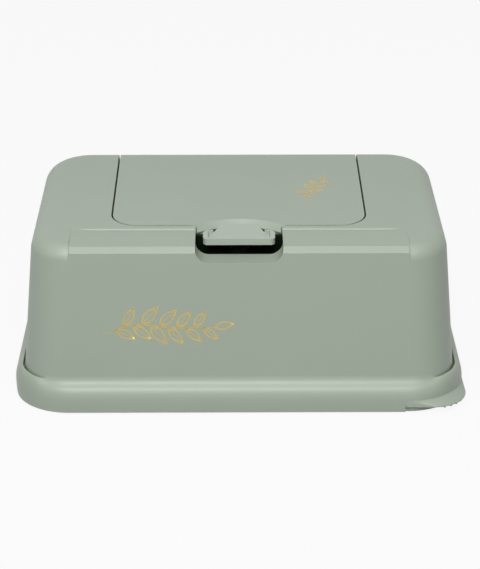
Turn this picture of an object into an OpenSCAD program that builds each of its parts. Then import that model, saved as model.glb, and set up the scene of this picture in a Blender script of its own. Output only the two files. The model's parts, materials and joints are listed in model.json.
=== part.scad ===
// Countertop wipes dispenser: a tray for the pack of wipes, a lift-off housing
// with a skirt ring, and a hinged lid that closes over a soft dispensing slot.
// Millimetres, +Z up, the front faces -Y, origin on the counter under the middle.

/* [Skirt] */
// Width over the skirt
skirt_w = 255; // [245:1:275]
// Depth over the skirt
skirt_d = 159; // [154:1:172]
// Plan radius of the skirt's corners
skirt_r = 33; // [28:1:36]
// Gap between the counter and the skirt
skirt_z0 = 1; // [0.8:0.1:1.4]
// Height of the top of the skirt's upright face
skirt_face_h = 8.5; // [7.5:0.5:10]
// Height of the skirt's top edge
skirt_h = 19.2; // [16.4:0.2:21]
// How far the skirt stands out from the housing
skirt_out = 6; // [5:0.5:7.5]
// Thickness of the skirt's top edge
skirt_edge = 0.8; // [0.5:0.1:1.4]
// Thickness of the skirt's wall where it hangs over the tray
skirt_wall = 1.5; // [1.2:0.1:2]

/* [Lift corner] */
// Distance of the notch's end from the middle, along the front
notch_x = 93; // [86:1:97]
// Distance of the notch's end from the middle, along the side
notch_y = 43; // [36:1:48]
// Height of the notch
notch_h = 5.4; // [5.2:0.1:6.4]
// Height of the lift lip's lower edge
lip_z = 4.3; // [3.8:0.1:5]
// Plan radius of the lift lip's corner
lip_r = 20; // [17:1:24]
// How far the lift lip stands out at the side
lip_out = 1; // [0.6:0.1:2]
// Number of grip ribs under the lift lip
rib_count = 5; // [3:1:7]
// Width of one grip rib
rib_w = 1.2; // [0.8:0.1:1.6]

/* [Housing] */
// Overall height
height = 103; // [98:1:116]
// Wall of the housing
wall = 2.5; // [2:0.1:3]
// Lean of the side walls, in degrees
side_draft = 5; // [3:0.5:7]
// Lean of the front wall, in degrees
front_draft = 2.4; // [1.4:0.2:4]
// Lean of the rear wall, in degrees
rear_draft = 1.2; // [0.6:0.2:2.4]
// Rise of the top towards the back, in degrees
top_tilt = 2.4; // [1.4:0.2:4]
// Plan radius of the housing's corners at the counter
body_r = 24; // [20:1:28]
// Plan radius of the housing's front corners at the top
front_corner_r = 22; // [19:1:25]
// Plan radius of the housing's rear corners at the top
rear_corner_r = 27; // [24:1:30]
// Radius of the shoulders at the front corners
front_edge_r = 9; // [8:0.5:10]
// Radius of the rear crest and of the shoulders there
edge_r = 12; // [11:0.5:13]
// Half the length of the bevelled front edge
band_half = 96; // [88:1:98]
// Depth of the bevel on the front edge, front to back
band_run = 3.3; // [2:0.1:4.5]
// Height of the bevel on the front edge
band_rise = 2.6; // [1.8:0.1:4]
// Drop from the lid's plane to the strip in front of it
strip_step = 0.8; // [0.4:0.1:1.2]
// Distance of the strip's rear edge in front of the lid opening
strip_gap = 3.8; // [3:0.2:6]

/* [Finger scoop] */
// Width of the scoop
scoop_w = 48.2; // [44:0.2:54]
// Depth of the scoop's floor below the top of the bevel
scoop_drop = 8.4; // [7:0.1:9]
// Radius of the scoop's lower corners
scoop_r = 7.5; // [5:0.5:9]
// Length of the scoop's floor, front to back
ledge_run = 12.6; // [11:0.2:13]
// Wall of the black cup and of the scoop's floor
cup_wall = 1.6; // [1.2:0.1:2]
// Depth of the cup's floor below the hinge axis
cup_floor = 5.5; // [4.6:0.1:7]

/* [Tray] */
// Height of the tray's rim, which the housing closes on
tray_h = 5.6; // [5:0.1:6.6]
// Height of the flange that the tray reaches out under the skirt
flange_h = 4.6; // [4:0.1:5]
// Height of the tray's inner wall
upstand_h = 16; // [12:0.5:20]
// Thickness of the tray's floor and inner wall
tray_wall = 2; // [1.6:0.1:2.4]
// Clearance of the tray in the skirt
tray_gap = 0.35; // [0.3:0.05:0.6]
// Clearance of the tray's inner wall in the housing
upstand_gap = 0.4; // [0.3:0.05:0.8]
// Thickness of the gasket on the tray's rim
seal_t = 1; // [0.8:0.1:1.4]
// Width of one floor rib
floor_rib_w = 1.2; // [0.8:0.1:2]
// Height of the floor ribs
floor_rib_h = 1; // [0.6:0.1:1.6]
// Distance between floor ribs
floor_rib_pitch = 40; // [30:1:45]
// Radius of a foot
foot_r = 7; // [5:0.5:9]
// Sideways distance of the feet from the middle
foot_x = 100; // [90:1:104]
// Distance of the feet from the middle, front to back
foot_y = 50; // [44:1:54]
// Depth of a foot's seat in the tray
foot_seat = 0.8; // [0.5:0.1:1]

/* [Lid] */
// Width of the lid
lid_w = 141.8; // [132:0.2:150]
// Distance of the lid's front edge behind the bevel on the housing's front edge
front_margin = 26; // [24:0.2:28]
// Thickness of the lid
lid_t = 2.4; // [2:0.1:3]
// Plan radius of the lid's front corners
lid_r = 15; // [12:0.5:18]
// Gap beside the lid
lid_gap = 1; // [0.8:0.1:1.4]
// Gap in front of the lid
lid_front_gap = 0.8; // [0.6:0.1:1.2]
// Angle that the lid's rolled rear edge reaches below the hinge axis
roll_angle = 27; // [20:1:30]
// Clearance round the rolled rear edge
roll_gap = 0.6; // [0.5:0.1:0.8]
// Wall of the lid's rim
rim_t = 2; // [1.6:0.1:2.4]
// Depth of the lid's rim below the top
rim_drop = 5.5; // [4.8:0.1:5.8]
// Radius of the arch that is pressed into the lid at the tab
arch_r = 43.2; // [40:0.2:48]
// How far the arch reaches back from the lid's front edge
arch_depth = 8.7; // [8.2:0.1:10]
// Drop of the pressed arch
arch_drop = 3.4; // [2.8:0.1:3.6]
// How far the lid's horns reach past its front edge
horn_run = 4; // [3:0.1:4.6]

/* [Lid liner] */
// Thickness of the liner
liner_t = 1.6; // [1.2:0.1:1.8]
// Distance of the liner's sides from the lid's sides
liner_side = 11; // [9:0.5:14]
// Distance of the liner's front edge behind the lid's front edge
liner_front_gap = 10.6; // [9.6:0.2:12.6]
// Rear edge of the liner, from the hinge axis
liner_rear = 16; // [14:0.5:18]
// Plan radius of the liner's corners
liner_r = 8; // [5:0.5:11]
// Length of the bosses between the lid and the liner
boss_l = 3.4; // [3:0.1:3.6]
// Distance of the seal's sides from the liner's sides
seal_side = 8; // [6.6:0.2:10]
// Distance of the seal's front and rear from the liner's
seal_margin = 5.5; // [4.5:0.5:6.5]
// Plan radius of the seal's corners
seal_r = 18; // [12:0.5:22]
// Width of the seal's lip
seal_lip = 3; // [2.4:0.2:3.4]

/* [Deck] */
// Wall of the deck
deck_wall = 2; // [1.6:0.1:2.2]
// Wall of the deck's front, behind the cup
deck_front_t = 1.7; // [1.4:0.1:2]
// Distance of the deck's opening from the seal, at the sides
orifice_side = 14; // [12:0.5:17]
// Distance of the deck's opening from the seal, front and rear
orifice_margin = 13; // [11.5:0.5:15]
// Plan radius of the opening in the deck
orifice_r = 12; // [8:0.5:14]
// How far the membrane lies on the deck round the opening
membrane_edge = 4; // [3:0.2:5]
// Width of the dispensing slot
slot_w = 44; // [36:1:50]
// Length of the dispensing slot, front to back
slot_d = 6; // [5:0.5:8]
// Thickness of the membrane
membrane_t = 1; // [0.8:0.1:1.2]
// Thickness of the clamp ring
clamp_t = 1.4; // [1:0.1:1.6]
// Width of the clamp ring
clamp_w = 8; // [6.5:0.5:8.5]
// Sideways distance of the deck screws from the well
deck_screw_out = 7; // [6.8:0.2:9]
// Distance of the front deck screws from the front of the opening
deck_screw_front = 15; // [13:0.5:20]
// Distance of the rear deck screws from the hinge axis
deck_screw_rear = 20; // [18:0.5:24]
// Depth of the screw ears below the deck's top
ear_drop = 6; // [5.4:0.1:6.6]
// Radius of a lid bumper
bumper_r = 2.4; // [2:0.1:2.8]

/* [Hinge] */
// Radius of the hinge pins
pin_r = 2; // [1.6:0.1:2.4]
// Running clearance of the hinge pins in the lid
pin_run = 0.05; // [0.03:0.01:0.08]
// Inner end of the hinge hubs, from the middle
hub_x = 60; // [58:0.5:63]
// Radius of the hinge hubs
hub_r = 4.6; // [4:0.1:5.4]
// Radius of the hinge bosses on the deck
hinge_boss_r = 5.2; // [4.6:0.1:6]
// Length of the hinge bosses on the deck
hinge_boss_l = 6.5; // [5:0.5:9]

/* [Latch] */
// Width of the tab
tab_w = 39.7; // [36:0.1:42]
// Length of the tab's brim, front to back
brim_d = 12; // [11:0.2:12.8]
// Distance of the brim in front of the lid's front edge
brim_gap = 6; // [5.6:0.1:6.4]
// Thickness of the brim
brim_t = 3.4; // [2.8:0.1:3.8]
// Radius of the brim's corners
brim_r = 2.3; // [1.6:0.1:3]
// Width of the tab's crown at its shoulders
crown_w = 26.2; // [25:0.2:28]
// Width of the tab's crown at its rear edge
crown_top_w = 17; // [15:0.2:18]
// Length of the tab's crown
crown_d = 7.6; // [7:0.1:8]
// Thickness of the tab's crown
crown_t = 2.6; // [2.2:0.1:2.8]
// Drop of the tab below the lid's plane
tab_drop = 0.4; // [0.2:0.1:0.6]
// Depth of the thumb panel in the tab
panel_drop = 0.4; // [0.2:0.1:0.8]
// Border round the thumb panel
panel_edge = 3; // [2:0.2:4]
// Distance of the latch pin in front of the lid's front edge
latch_y = 5.6; // [5.2:0.1:6]
// Depth of the latch pin below the lid's plane
latch_z = 6.3; // [6:0.1:6.4]
// Radius of the latch pin
latch_pin_r = 1; // [0.8:0.1:1.1]
// Running clearance of the latch pin in the hook
latch_run = 0.06; // [0.03:0.01:0.08]
// Length of the hook below the latch pin
hook_l = 7; // [6.6:0.1:7.4]
// How far the hook reaches under the keeper
hook_grip = 1; // [0.8:0.1:1.1]
// Clearance between the hook and the keeper
hook_gap = 0.3; // [0.25:0.05:0.4]
// Width of the hook
hook_w = 9; // [7:0.5:11]
// Width of the keeper's lip
keeper_w = 12; // [11:0.5:14]
// Width of the keeper's foot
keeper_foot_w = 18; // [16:0.5:22]

/* [Screws and spring] */
// Radius of the deck screws' shanks
deck_shank_r = 1.2; // [1:0.1:1.3]
// Radius of the deck screws' heads
deck_head_r = 2.3; // [2:0.1:2.6]
// Height of the deck screws' heads
deck_head_h = 1.4; // [1:0.1:1.8]
// Radius of the lid screws' shanks
lid_shank_r = 0.8; // [0.6:0.1:1]
// Radius of the lid screws' heads
lid_head_r = 1.8; // [1.5:0.1:2]
// Height of the lid screws' heads
lid_head_h = 1; // [0.8:0.1:1.2]
// Clearance round a screw's shank
screw_gap = 0.2; // [0.1:0.05:0.3]
// Wire radius of the latch spring
latch_wire_r = 0.25; // [0.2:0.05:0.3]

/* [Hidden] */
$fn = 64;

sage = [0.62, 0.66, 0.60];
sage_light = [0.72, 0.76, 0.71];
ink = [0.06, 0.08, 0.05];
steel = [0.75, 0.76, 0.78];
silicone = [0.85, 0.86, 0.84];

thin = 0.01;          // thickness of the slabs that only shape a hull
over = 5;             // how far a cut runs past the solid that it cuts
far = 400;            // larger than the whole object
seat_gap = 0.1;       // between faces that close on each other
side_gap = 0.3;       // between parts that move past each other
skirt_fit = 0.15;     // between the skirt and the housing
press_gap = 0.02;     // round a pin that is pressed in
hull_fn = 48;

// The housing's walls lean in, so their places depend on the height.
half_w = skirt_w / 2 - skirt_out;
half_d = skirt_d / 2 - skirt_out;
function side_x(z) = half_w + (skirt_h - z) * tan(side_draft);
function front_y(z) = -half_d - (skirt_h - z) * tan(front_draft);
function rear_y(z) = half_d + (skirt_h - z) * tan(rear_draft);

// The hinge axis is the middle of the rear crest's curve. The lid, the deck and the
// latch are drawn in a frame that starts there and leans with the top.
hinge_z = height - edge_r;
hinge_y = rear_y(hinge_z) - edge_r / cos(rear_draft);
function top_z(y) = hinge_z + edge_r / cos(top_tilt) - (hinge_y - y) * tan(top_tilt);

front_core = front_corner_r - front_edge_r;
rear_core = rear_corner_r - edge_r;
front_rise = edge_r - front_edge_r;
front_z = hinge_z + front_rise - (hinge_y + half_d - front_edge_r) * tan(top_tilt);
front_run = hinge_y - front_y(front_z) - front_edge_r / cos(front_draft);
rear_x = side_x(hinge_z) - edge_r / cos(side_draft) - rear_core;
front_x = side_x(front_z) - front_edge_r / cos(side_draft) - front_core;

band_y = front_y(top_z(-half_d) - strip_step) + band_run;
band_z = top_z(band_y) - strip_step;
lid_len = (hinge_y - band_y - (edge_r - strip_step) * sin(top_tilt)) / cos(top_tilt)
    - front_margin;
open_half = lid_w / 2 + lid_gap;
open_front = lid_len + lid_front_gap;
open_r = lid_r + lid_gap;
strip_rear = open_front + strip_gap;
skin = edge_r - wall;

housing_z0 = tray_h + seal_t + seat_gap;
ledge_z = band_z - scoop_drop;
ledge_y = front_y(ledge_z) + ledge_run;
scoop_half = scoop_w / 2;

deck_top = skin - seat_gap;
deck_front = open_front + seat_gap;
deck_half = open_half + seat_gap;
trough_r = edge_r + roll_gap;
cup_rear = deck_front + deck_front_t + 2 * seat_gap + cup_wall;
cup_front = hinge_y - ledge_y;
wall_top = edge_r - rim_drop - 0.7;
slot_half = crown_w / 2 - 0.6;
slot_z = 1.6;

lid_under = edge_r - lid_t;
rim_z = edge_r - rim_drop;
liner_top = lid_under - boss_l + seat_gap;
liner_z = liner_top - liner_t;
bead_h = 1;
liner_w = lid_w - 2 * liner_side;
liner_front = lid_len - liner_front_gap;
liner_y = (liner_front + liner_rear) / 2;
lid_seal_w = liner_w - 2 * seal_side;
lid_seal_d = liner_front - liner_rear - 2 * seal_margin;
orifice_w = lid_seal_w - 2 * orifice_side;
orifice_d = lid_seal_d - 2 * orifice_margin;
clamp_over = 7;
lid_boss_r = 2.6;
lid_boss_x = liner_w / 2 - lid_boss_r - 2;
hub_l = lid_w / 2 - hub_x - side_gap;
pin_outer = deck_half + deck_wall + hinge_boss_l - 1;
web_t = 3;
web_inset = 0.5;
arch_y = lid_len - arch_depth + arch_r;
arch_in = arch_r - arch_drop;
horn_half = scoop_half - 0.7;
bumper_reach = (open_r - bumper_r - 2 * seat_gap) * sin(45);
bumper_x = deck_half - open_r + bumper_reach;
bumper_y = deck_front - open_r + bumper_reach;
bumper_z = rim_z - 2.1;

tab_top = edge_r - tab_drop;
brim_rear = lid_len + brim_gap;
brim_front = brim_rear + brim_d;
crown_rear = brim_rear - crown_d;
pivot_y = lid_len + latch_y;
pivot_z = edge_r - latch_z;
lug_r = latch_pin_r + 1.2;
lug_foot = lug_r - 0.4;
lug_x = 9.2;
lug_t = 2.2;
lug_back = 4;
spring_x = 4.9;
spring_leg = 2.2;
keeper_front = pivot_y + hook_grip + 0.4;
nose_y = pivot_y + 0.4;
nose_top = pivot_z - hook_l;
keeper_z = nose_top + hook_gap;
keeper_t = 2.1;
keeper_foot_t = 0.9;
keeper_drop = 1.4;

ear_z = deck_top - ear_drop;
ear_t = 2;
ear_r = 4.2;
deck_screw_x = deck_half + deck_screw_out;
deck_screw_y = [open_front - deck_screw_front, deck_screw_rear];
lid_screw_y = [liner_front - lid_boss_r - 2, liner_rear + lid_boss_r + 2];

// Places its children in the leaning frame, with the hinge axis along X at its origin.
module lid_frame() {
    translate([0, hinge_y, hinge_z]) rotate([top_tilt, 0, 0]) children();
}

// Extrudes an outline drawn in (Y, Z) along X, from x0 over the given length.
module along_x(x0, length) {
    translate([x0, 0, 0]) rotate([90, 0, 90]) linear_extrude(length) children();
}

// A rod of radius r along X, from x0 to x1.
module rod(r, x0, x1) {
    translate([x0, 0, 0]) rotate([0, 90, 0]) cylinder(h = x1 - x0, r = r);
}

module rounded_rect(w, d, r) {
    square([w - 2 * r, d], center = true);
    square([w, d - 2 * r], center = true);
    for (x = [-1, 1], y = [-1, 1])
        translate([x * (w / 2 - r), y * (d / 2 - r)]) circle(r);
}

// A plate from y = -front to y = rear, with its two front corners rounded.
module front_rounded(half, front, rear, r) {
    translate([-half, r - front]) square([2 * half, rear + front - r]);
    translate([r - half, -front]) square([2 * (half - r), rear + front]);
    for (x = [-1, 1]) translate([x * (half - r), r - front]) circle(r);
}

// The housing's outline at height z, drawn in by inset.
module plan(inset, z) {
    translate([0, (rear_y(z) + front_y(z)) / 2])
        rounded_rect(2 * (side_x(z) - inset), rear_y(z) - front_y(z) - 2 * inset, body_r - inset);
}

// The skirt's outline, drawn in by inset.
module skirt_plan(inset) {
    rounded_rect(skirt_w - 2 * inset, skirt_d - 2 * inset, skirt_r - inset);
}

// One rounded upper corner of the housing, of plan radius core + r and edge radius r.
module corner_ring(core, r) {
    rotate_extrude($fn = hull_fn) intersection() {
        translate([core, 0]) circle(r, $fn = hull_fn);
        translate([0, -r]) square([core + r, 2 * r]);
    }
}

// The housing's solid form, drawn in by inset.
module body_form(inset) {
    hull() {
        linear_extrude(thin) plan(inset, 0, $fn = hull_fn);
        lid_frame() for (s = [-1, 1]) {
            translate([s * rear_x, -rear_core, 0]) corner_ring(rear_core, edge_r - inset);
            translate([s * front_x, front_core - front_run, front_rise])
                corner_ring(front_core, front_edge_r - inset);
        }
        band_bar(inset);
    }
}

// The bevel along the housing's front edge, as a bar that shapes the form.
module band_bar(inset) {
    back = 0.45 * inset;
    low_z = band_z - band_rise;
    along_x(inset - band_half, 2 * (band_half - inset)) polygon([
        [band_y + back, band_z - inset],
        [front_y(low_z) + inset, low_z - back],
        [band_y + band_run + inset, low_z - inset]
    ]);
}

// The scoop's outline in the front wall, grown by extra, and reaching up past the top.
module scoop_outline(extra) {
    r = scoop_r + extra;
    half = scoop_half + extra;
    translate([-half, ledge_z - extra + r]) square([2 * half, height]);
    translate([r - half, ledge_z - extra]) square([2 * (half - r), 2 * r]);
    for (x = [-1, 1]) translate([x * (half - r), ledge_z - extra + r]) circle(r);
}

// The scoop's outline extruded front to back, from y0 over the given length.
module scoop_bar(extra, y0, length) {
    translate([0, y0 + length, 0]) rotate([90, 0, 0]) linear_extrude(length) scoop_outline(extra);
}

module deck_screw_places() {
    for (x = [-1, 1], y = deck_screw_y) translate([x * deck_screw_x, -y, 0]) children();
}

module lid_screw_places() {
    for (x = [-1, 1], y = lid_screw_y) translate([x * lid_boss_x, -y, 0]) children();
}

// The middle of the orifice, on the deck's floor.
module orifice_place() {
    translate([0, -liner_y, 0]) children();
}

// A flat ring between two rounded rectangles, of the given height.
module loop(w, d, r, lip, h) {
    linear_extrude(h) difference() {
        rounded_rect(w, d, r);
        rounded_rect(w - 2 * lip, d - 2 * lip, r - lip);
    }
}

// A pan-head screw: its head lies below z = 0 and its shank stands up from there.
module screw(shank_r, shank_l, head_r, head_h) {
    difference() {
        union() {
            cylinder(h = shank_l, r = shank_r);
            translate([0, 0, -head_h]) cylinder(h = head_h, r = head_r);
        }
        for (a = [0, 90]) rotate([0, 0, a])
            translate([-head_r * 0.6, -head_r * 0.12, -head_h - thin])
                cube([head_r * 1.2, head_r * 0.24, head_h * 0.6]);
    }
}

function unit(v) = v / norm(v);

// A wire through the points, of radius r and with six sides. The points run in
// planes that are nearly square to X.
module wire(points, r, sides = 6) {
    last = len(points) - 1;
    rings = [for (i = [0:last])
        let (along = unit(points[min(i + 1, last)] - points[max(i - 1, 0)]))
        let (out = unit(cross(along, [1, 0, 0])))
        let (across = cross(along, out))
        for (k = [0:sides - 1])
            points[i] + r * (cos(360 * k / sides) * out + sin(360 * k / sides) * across)];
    walls = [for (i = [0:last - 1], k = [0:sides - 1])
        let (a = i * sides + k, b = i * sides + (k + 1) % sides)
        each [[a, b + sides, b], [a, a + sides, b + sides]]];
    first_cap = [for (k = [0:sides - 1]) k];
    last_cap = [for (k = [sides - 1:-1:0]) last * sides + k];
    polyhedron(points = rings, faces = concat([first_cap], walls, [last_cap]));
}

// A torsion spring round X: it starts at x0, winds the given turns and pitch at
// radius r from the angle start, and its two legs reach to the radius leg.
function torsion(x0, r, turns, pitch, start, leg, steps = 12) =
    let (count = ceil(turns * steps))
    let (coil = [for (i = [0:count]) let (t = i / steps, a = start + 360 * t)
        [x0 + pitch * t, r * cos(a), r * sin(a)]])
    let (end = start + 360 * count / steps)
    concat(
        [[x0, r * cos(start) + leg * sin(start), r * sin(start) - leg * cos(start)]],
        coil,
        [[x0 + pitch * count / steps, r * cos(end) - leg * sin(end), r * sin(end) + leg * cos(end)]]);

module base_tray() {
    color(sage) difference() {
        union() {
            translate([0, 0, skirt_z0 - 0.2]) linear_extrude(tray_h - skirt_z0 + 0.2)
                plan(tray_gap, tray_h);
            linear_extrude(upstand_h) plan(wall + upstand_gap, upstand_h);
            translate([0, 0, skirt_z0 - 0.2]) linear_extrude(flange_h - skirt_z0 + 0.2)
                skirt_plan(skirt_wall + tray_gap);
        }
        translate([0, 0, skirt_z0 - 0.2 + tray_wall]) linear_extrude(upstand_h)
            plan(wall + upstand_gap + tray_wall, upstand_h);
        translate([-far / 2, -far / 2, -far]) cube([far, far, far + skirt_z0 - 0.2]);
        for (x = [-1, 1], y = [-1, 1]) translate([x * foot_x, y * foot_y, 0])
            cylinder(h = skirt_z0 - 0.2 + foot_seat, r = foot_r + seat_gap);
    }
    color(sage) for (i = [-2:2])
        translate([i * floor_rib_pitch - floor_rib_w / 2, -foot_y, skirt_z0 - 0.2 + tray_wall])
            cube([floor_rib_w, 2 * foot_y, floor_rib_h]);
}

module tray_feet() {
    color(ink) for (x = [-1, 1], y = [-1, 1]) translate([x * foot_x, y * foot_y, 0])
        cylinder(h = skirt_z0 - 0.2 + foot_seat, r = foot_r);
}

module tray_seal() {
    color(silicone) translate([0, 0, tray_h]) linear_extrude(seal_t) difference() {
        plan(tray_gap + 0.5, tray_h);
        plan(wall + upstand_gap - seat_gap, upstand_h);
    }
}

module housing() {
    color(sage) difference() {
        body_form(0);
        difference() {
            body_form(wall);
            scoop_bar(cup_wall, -skirt_d, skirt_d + ledge_y);
            lid_frame() deck_screw_places() translate([0, 0, ear_z + ear_t + seat_gap])
                cylinder(h = edge_r, r = 3.4);
        }
        translate([-far / 2, -far / 2, -far]) cube([far, far, far + housing_z0]);
        scoop_bar(0, -skirt_d, skirt_d + hinge_y - open_front);
        lid_frame() {
            translate([0, 0, skin - over / 2]) linear_extrude(far)
                front_rounded(open_half, open_front, over, open_r);
            translate([-open_half, 0, -edge_r / 2]) cube([2 * open_half, far, far]);
            rod(trough_r, -open_half, open_half);
            translate([-band_half, -far, edge_r - strip_step])
                cube([2 * band_half, far - strip_rear, over]);
            deck_screw_places() cylinder(h = skin - 0.4, r = deck_shank_r + press_gap);
        }
    }
}

module base_skirt() {
    corner = [skirt_w / 2 - skirt_r, skirt_r - skirt_d / 2];
    lip_corner = [skirt_w / 2 + lip_out - lip_r, lip_r - skirt_d / 2 - lip_out / 2];
    tail = 2;
    color(sage) difference() {
        union() {
            difference() {
                hull() {
                    translate([0, 0, skirt_z0]) linear_extrude(thin) skirt_plan(0);
                    for (a = [0:18:90])
                        translate([0, 0, skirt_face_h + (skirt_h - skirt_face_h) * sin(a)])
                            linear_extrude(thin)
                            skirt_plan((skirt_out - skirt_edge) * (1 - cos(a)));
                }
                translate([notch_x, -far, -over]) cube([far, far - notch_y, notch_h + over]);
            }
            hull() {
                translate([corner[0], corner[1], skirt_face_h]) cylinder(h = thin, r = skirt_r);
                translate([lip_corner[0], lip_corner[1], lip_z]) cylinder(h = 0.7, r = lip_r);
                translate([notch_x, -skirt_d / 2, notch_h])
                    cube([tail, tail, skirt_face_h - notch_h]);
                translate([skirt_w / 2 - tail, -notch_y, notch_h])
                    cube([tail, tail, skirt_face_h - notch_h]);
            }
            for (i = [0:rib_count - 1])
                translate([lip_corner[0], lip_corner[1], 0])
                    rotate([0, 0, -70 + i * 50 / (rib_count - 1)])
                    translate([lip_r - 3.5, -rib_w / 2, lip_z - 0.9]) cube([3, rib_w, 1.2]);
        }
        body_form(-skirt_fit);
        translate([0, 0, -over]) linear_extrude(over + flange_h + seat_gap) skirt_plan(skirt_wall);
    }
}

module scoop_cup() {
    inner = scoop_half;
    outer = scoop_half + cup_wall;
    color(ink) lid_frame() difference() {
        translate([-outer, -cup_front - cup_wall, -cup_floor - cup_wall])
            cube([2 * outer, cup_front + cup_wall - cup_rear + cup_wall,
                cup_floor + cup_wall + skin - side_gap]);
        translate([-inner, -cup_front, -cup_floor])
            cube([2 * inner, cup_front - cup_rear, far]);
        // The front wall stops under the scoop's floor.
        translate([-far / 2, -far - cup_front + 2 * side_gap, ledge_z - cup_wall - hinge_z
            + cup_front * sin(top_tilt) - side_gap]) cube([far, far, far]);
        // The rear wall stops under the lid's horns, and its slot clears the latch lugs.
        translate([-inner, -cup_rear - thin, wall_top]) cube([2 * inner, far, far]);
        translate([-slot_half, -cup_rear - thin, slot_z]) cube([2 * slot_half, far, far]);
    }
}

// The outline of the trough that the lid's rolled edge turns in.
module trough_side() {
    difference() {
        circle(trough_r + deck_wall);
        translate([-far / 2, 0]) square([far, far]);
        translate([skin - side_gap, -far]) square([far, far]);
    }
}

// The outline of the deck's side wall and of the cheek at the trough's end.
module deck_side() {
    trough_side();
    translate([-deck_front, -deck_wall]) square([deck_front, deck_wall + deck_top]);
    difference() {
        circle(deck_top);
        translate([skin - side_gap, -far / 2]) square([far, far]);
    }
}

module deck() {
    color(sage) lid_frame() difference() {
        union() {
            // Floor and walls of the well
            difference() {
                translate([0, 0, -deck_wall]) linear_extrude(deck_wall + deck_top)
                    front_rounded(deck_half + deck_wall, deck_front + deck_front_t, 0,
                        open_r + deck_wall);
                linear_extrude(far) front_rounded(deck_half, deck_front, far, open_r);
            }
            // Trough that the lid's rolled edge turns in, and the cheeks at its ends
            along_x(-deck_half - deck_wall, 2 * (deck_half + deck_wall)) trough_side();
            for (x = [-deck_half - deck_wall, deck_half]) along_x(x, deck_wall) deck_side();
            // Hinge bosses, screw ears and bumper pillars
            rod(hinge_boss_r, deck_half, deck_half + deck_wall + hinge_boss_l);
            rod(hinge_boss_r, -deck_half - deck_wall - hinge_boss_l, -deck_half);
            deck_screw_places() translate([0, 0, ear_z]) cylinder(h = ear_t, r = ear_r);
            for (x = [deck_half + 1, -deck_screw_x], y = deck_screw_y)
                translate([x, -y - ear_r, ear_z])
                    cube([deck_screw_x - deck_half - 1, 2 * ear_r, ear_t]);
            for (x = [-1, 1]) translate([x * bumper_x, -bumper_y, -thin])
                cylinder(h = bumper_z + thin, r = bumper_r + 0.8);
            orifice_place()
                loop(lid_seal_w - 1, lid_seal_d - 1, seal_r - 0.5, seal_lip - 1, bead_h);
        }
        rod(trough_r, -deck_half, deck_half);
        rod(pin_r + press_gap, -far / 2, far / 2);
        deck_screw_places() translate([0, 0, -over])
            cylinder(h = far, r = deck_shank_r + screw_gap);
        orifice_place() translate([0, 0, -over]) linear_extrude(far)
            rounded_rect(orifice_w, orifice_d, orifice_r);
        translate([-scoop_half, -far, wall_top]) cube([2 * scoop_half, far - deck_front + thin, far]);
        translate([-slot_half, -far, slot_z]) cube([2 * slot_half, far - deck_front + thin, far]);
    }
}

module deck_screws() {
    color(steel) lid_frame() deck_screw_places() translate([0, 0, ear_z])
        screw(deck_shank_r, skin - 0.6 - ear_z, deck_head_r, deck_head_h);
}

module orifice() {
    color(silicone) lid_frame() orifice_place() linear_extrude(membrane_t) difference() {
        rounded_rect(orifice_w + 2 * membrane_edge, orifice_d + 2 * membrane_edge,
            orifice_r + membrane_edge);
        rounded_rect(slot_w, slot_d, slot_d / 2 - thin);
    }
}

module orifice_ring() {
    color(sage_light) lid_frame() orifice_place() translate([0, 0, membrane_t])
        loop(orifice_w + 2 * clamp_over, orifice_d + 2 * clamp_over, orifice_r + clamp_over,
            clamp_w, clamp_t);
}

module latch_keeper() {
    color(ink) lid_frame() {
        translate([-keeper_w / 2, -keeper_front, keeper_z])
            cube([keeper_w, keeper_front - cup_rear, keeper_t]);
        translate([-keeper_foot_w / 2, -cup_rear - keeper_foot_t, keeper_z - keeper_drop])
            cube([keeper_foot_w, keeper_foot_t, keeper_t + keeper_drop]);
    }
}

module lid_bumpers() {
    color(silicone) lid_frame() for (x = [-1, 1])
        translate([x * bumper_x, -bumper_y, bumper_z])
            cylinder(h = rim_z - side_gap - bumper_z, r = bumper_r);
}

module hinge_pins() {
    color(steel) lid_frame() for (x = [-pin_outer, hub_x - 2])
        rod(pin_r, x, x + pin_outer - hub_x + 2);
}

module lid_profile() {
    translate([-lid_len, lid_under]) square([lid_len, lid_t]);
    difference() {
        circle(edge_r);
        circle(lid_under);
        translate([-far, -far / 2]) square([far, far]);
        rotate([0, 0, -roll_angle]) translate([0, -far]) square([far, far]);
    }
}

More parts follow.
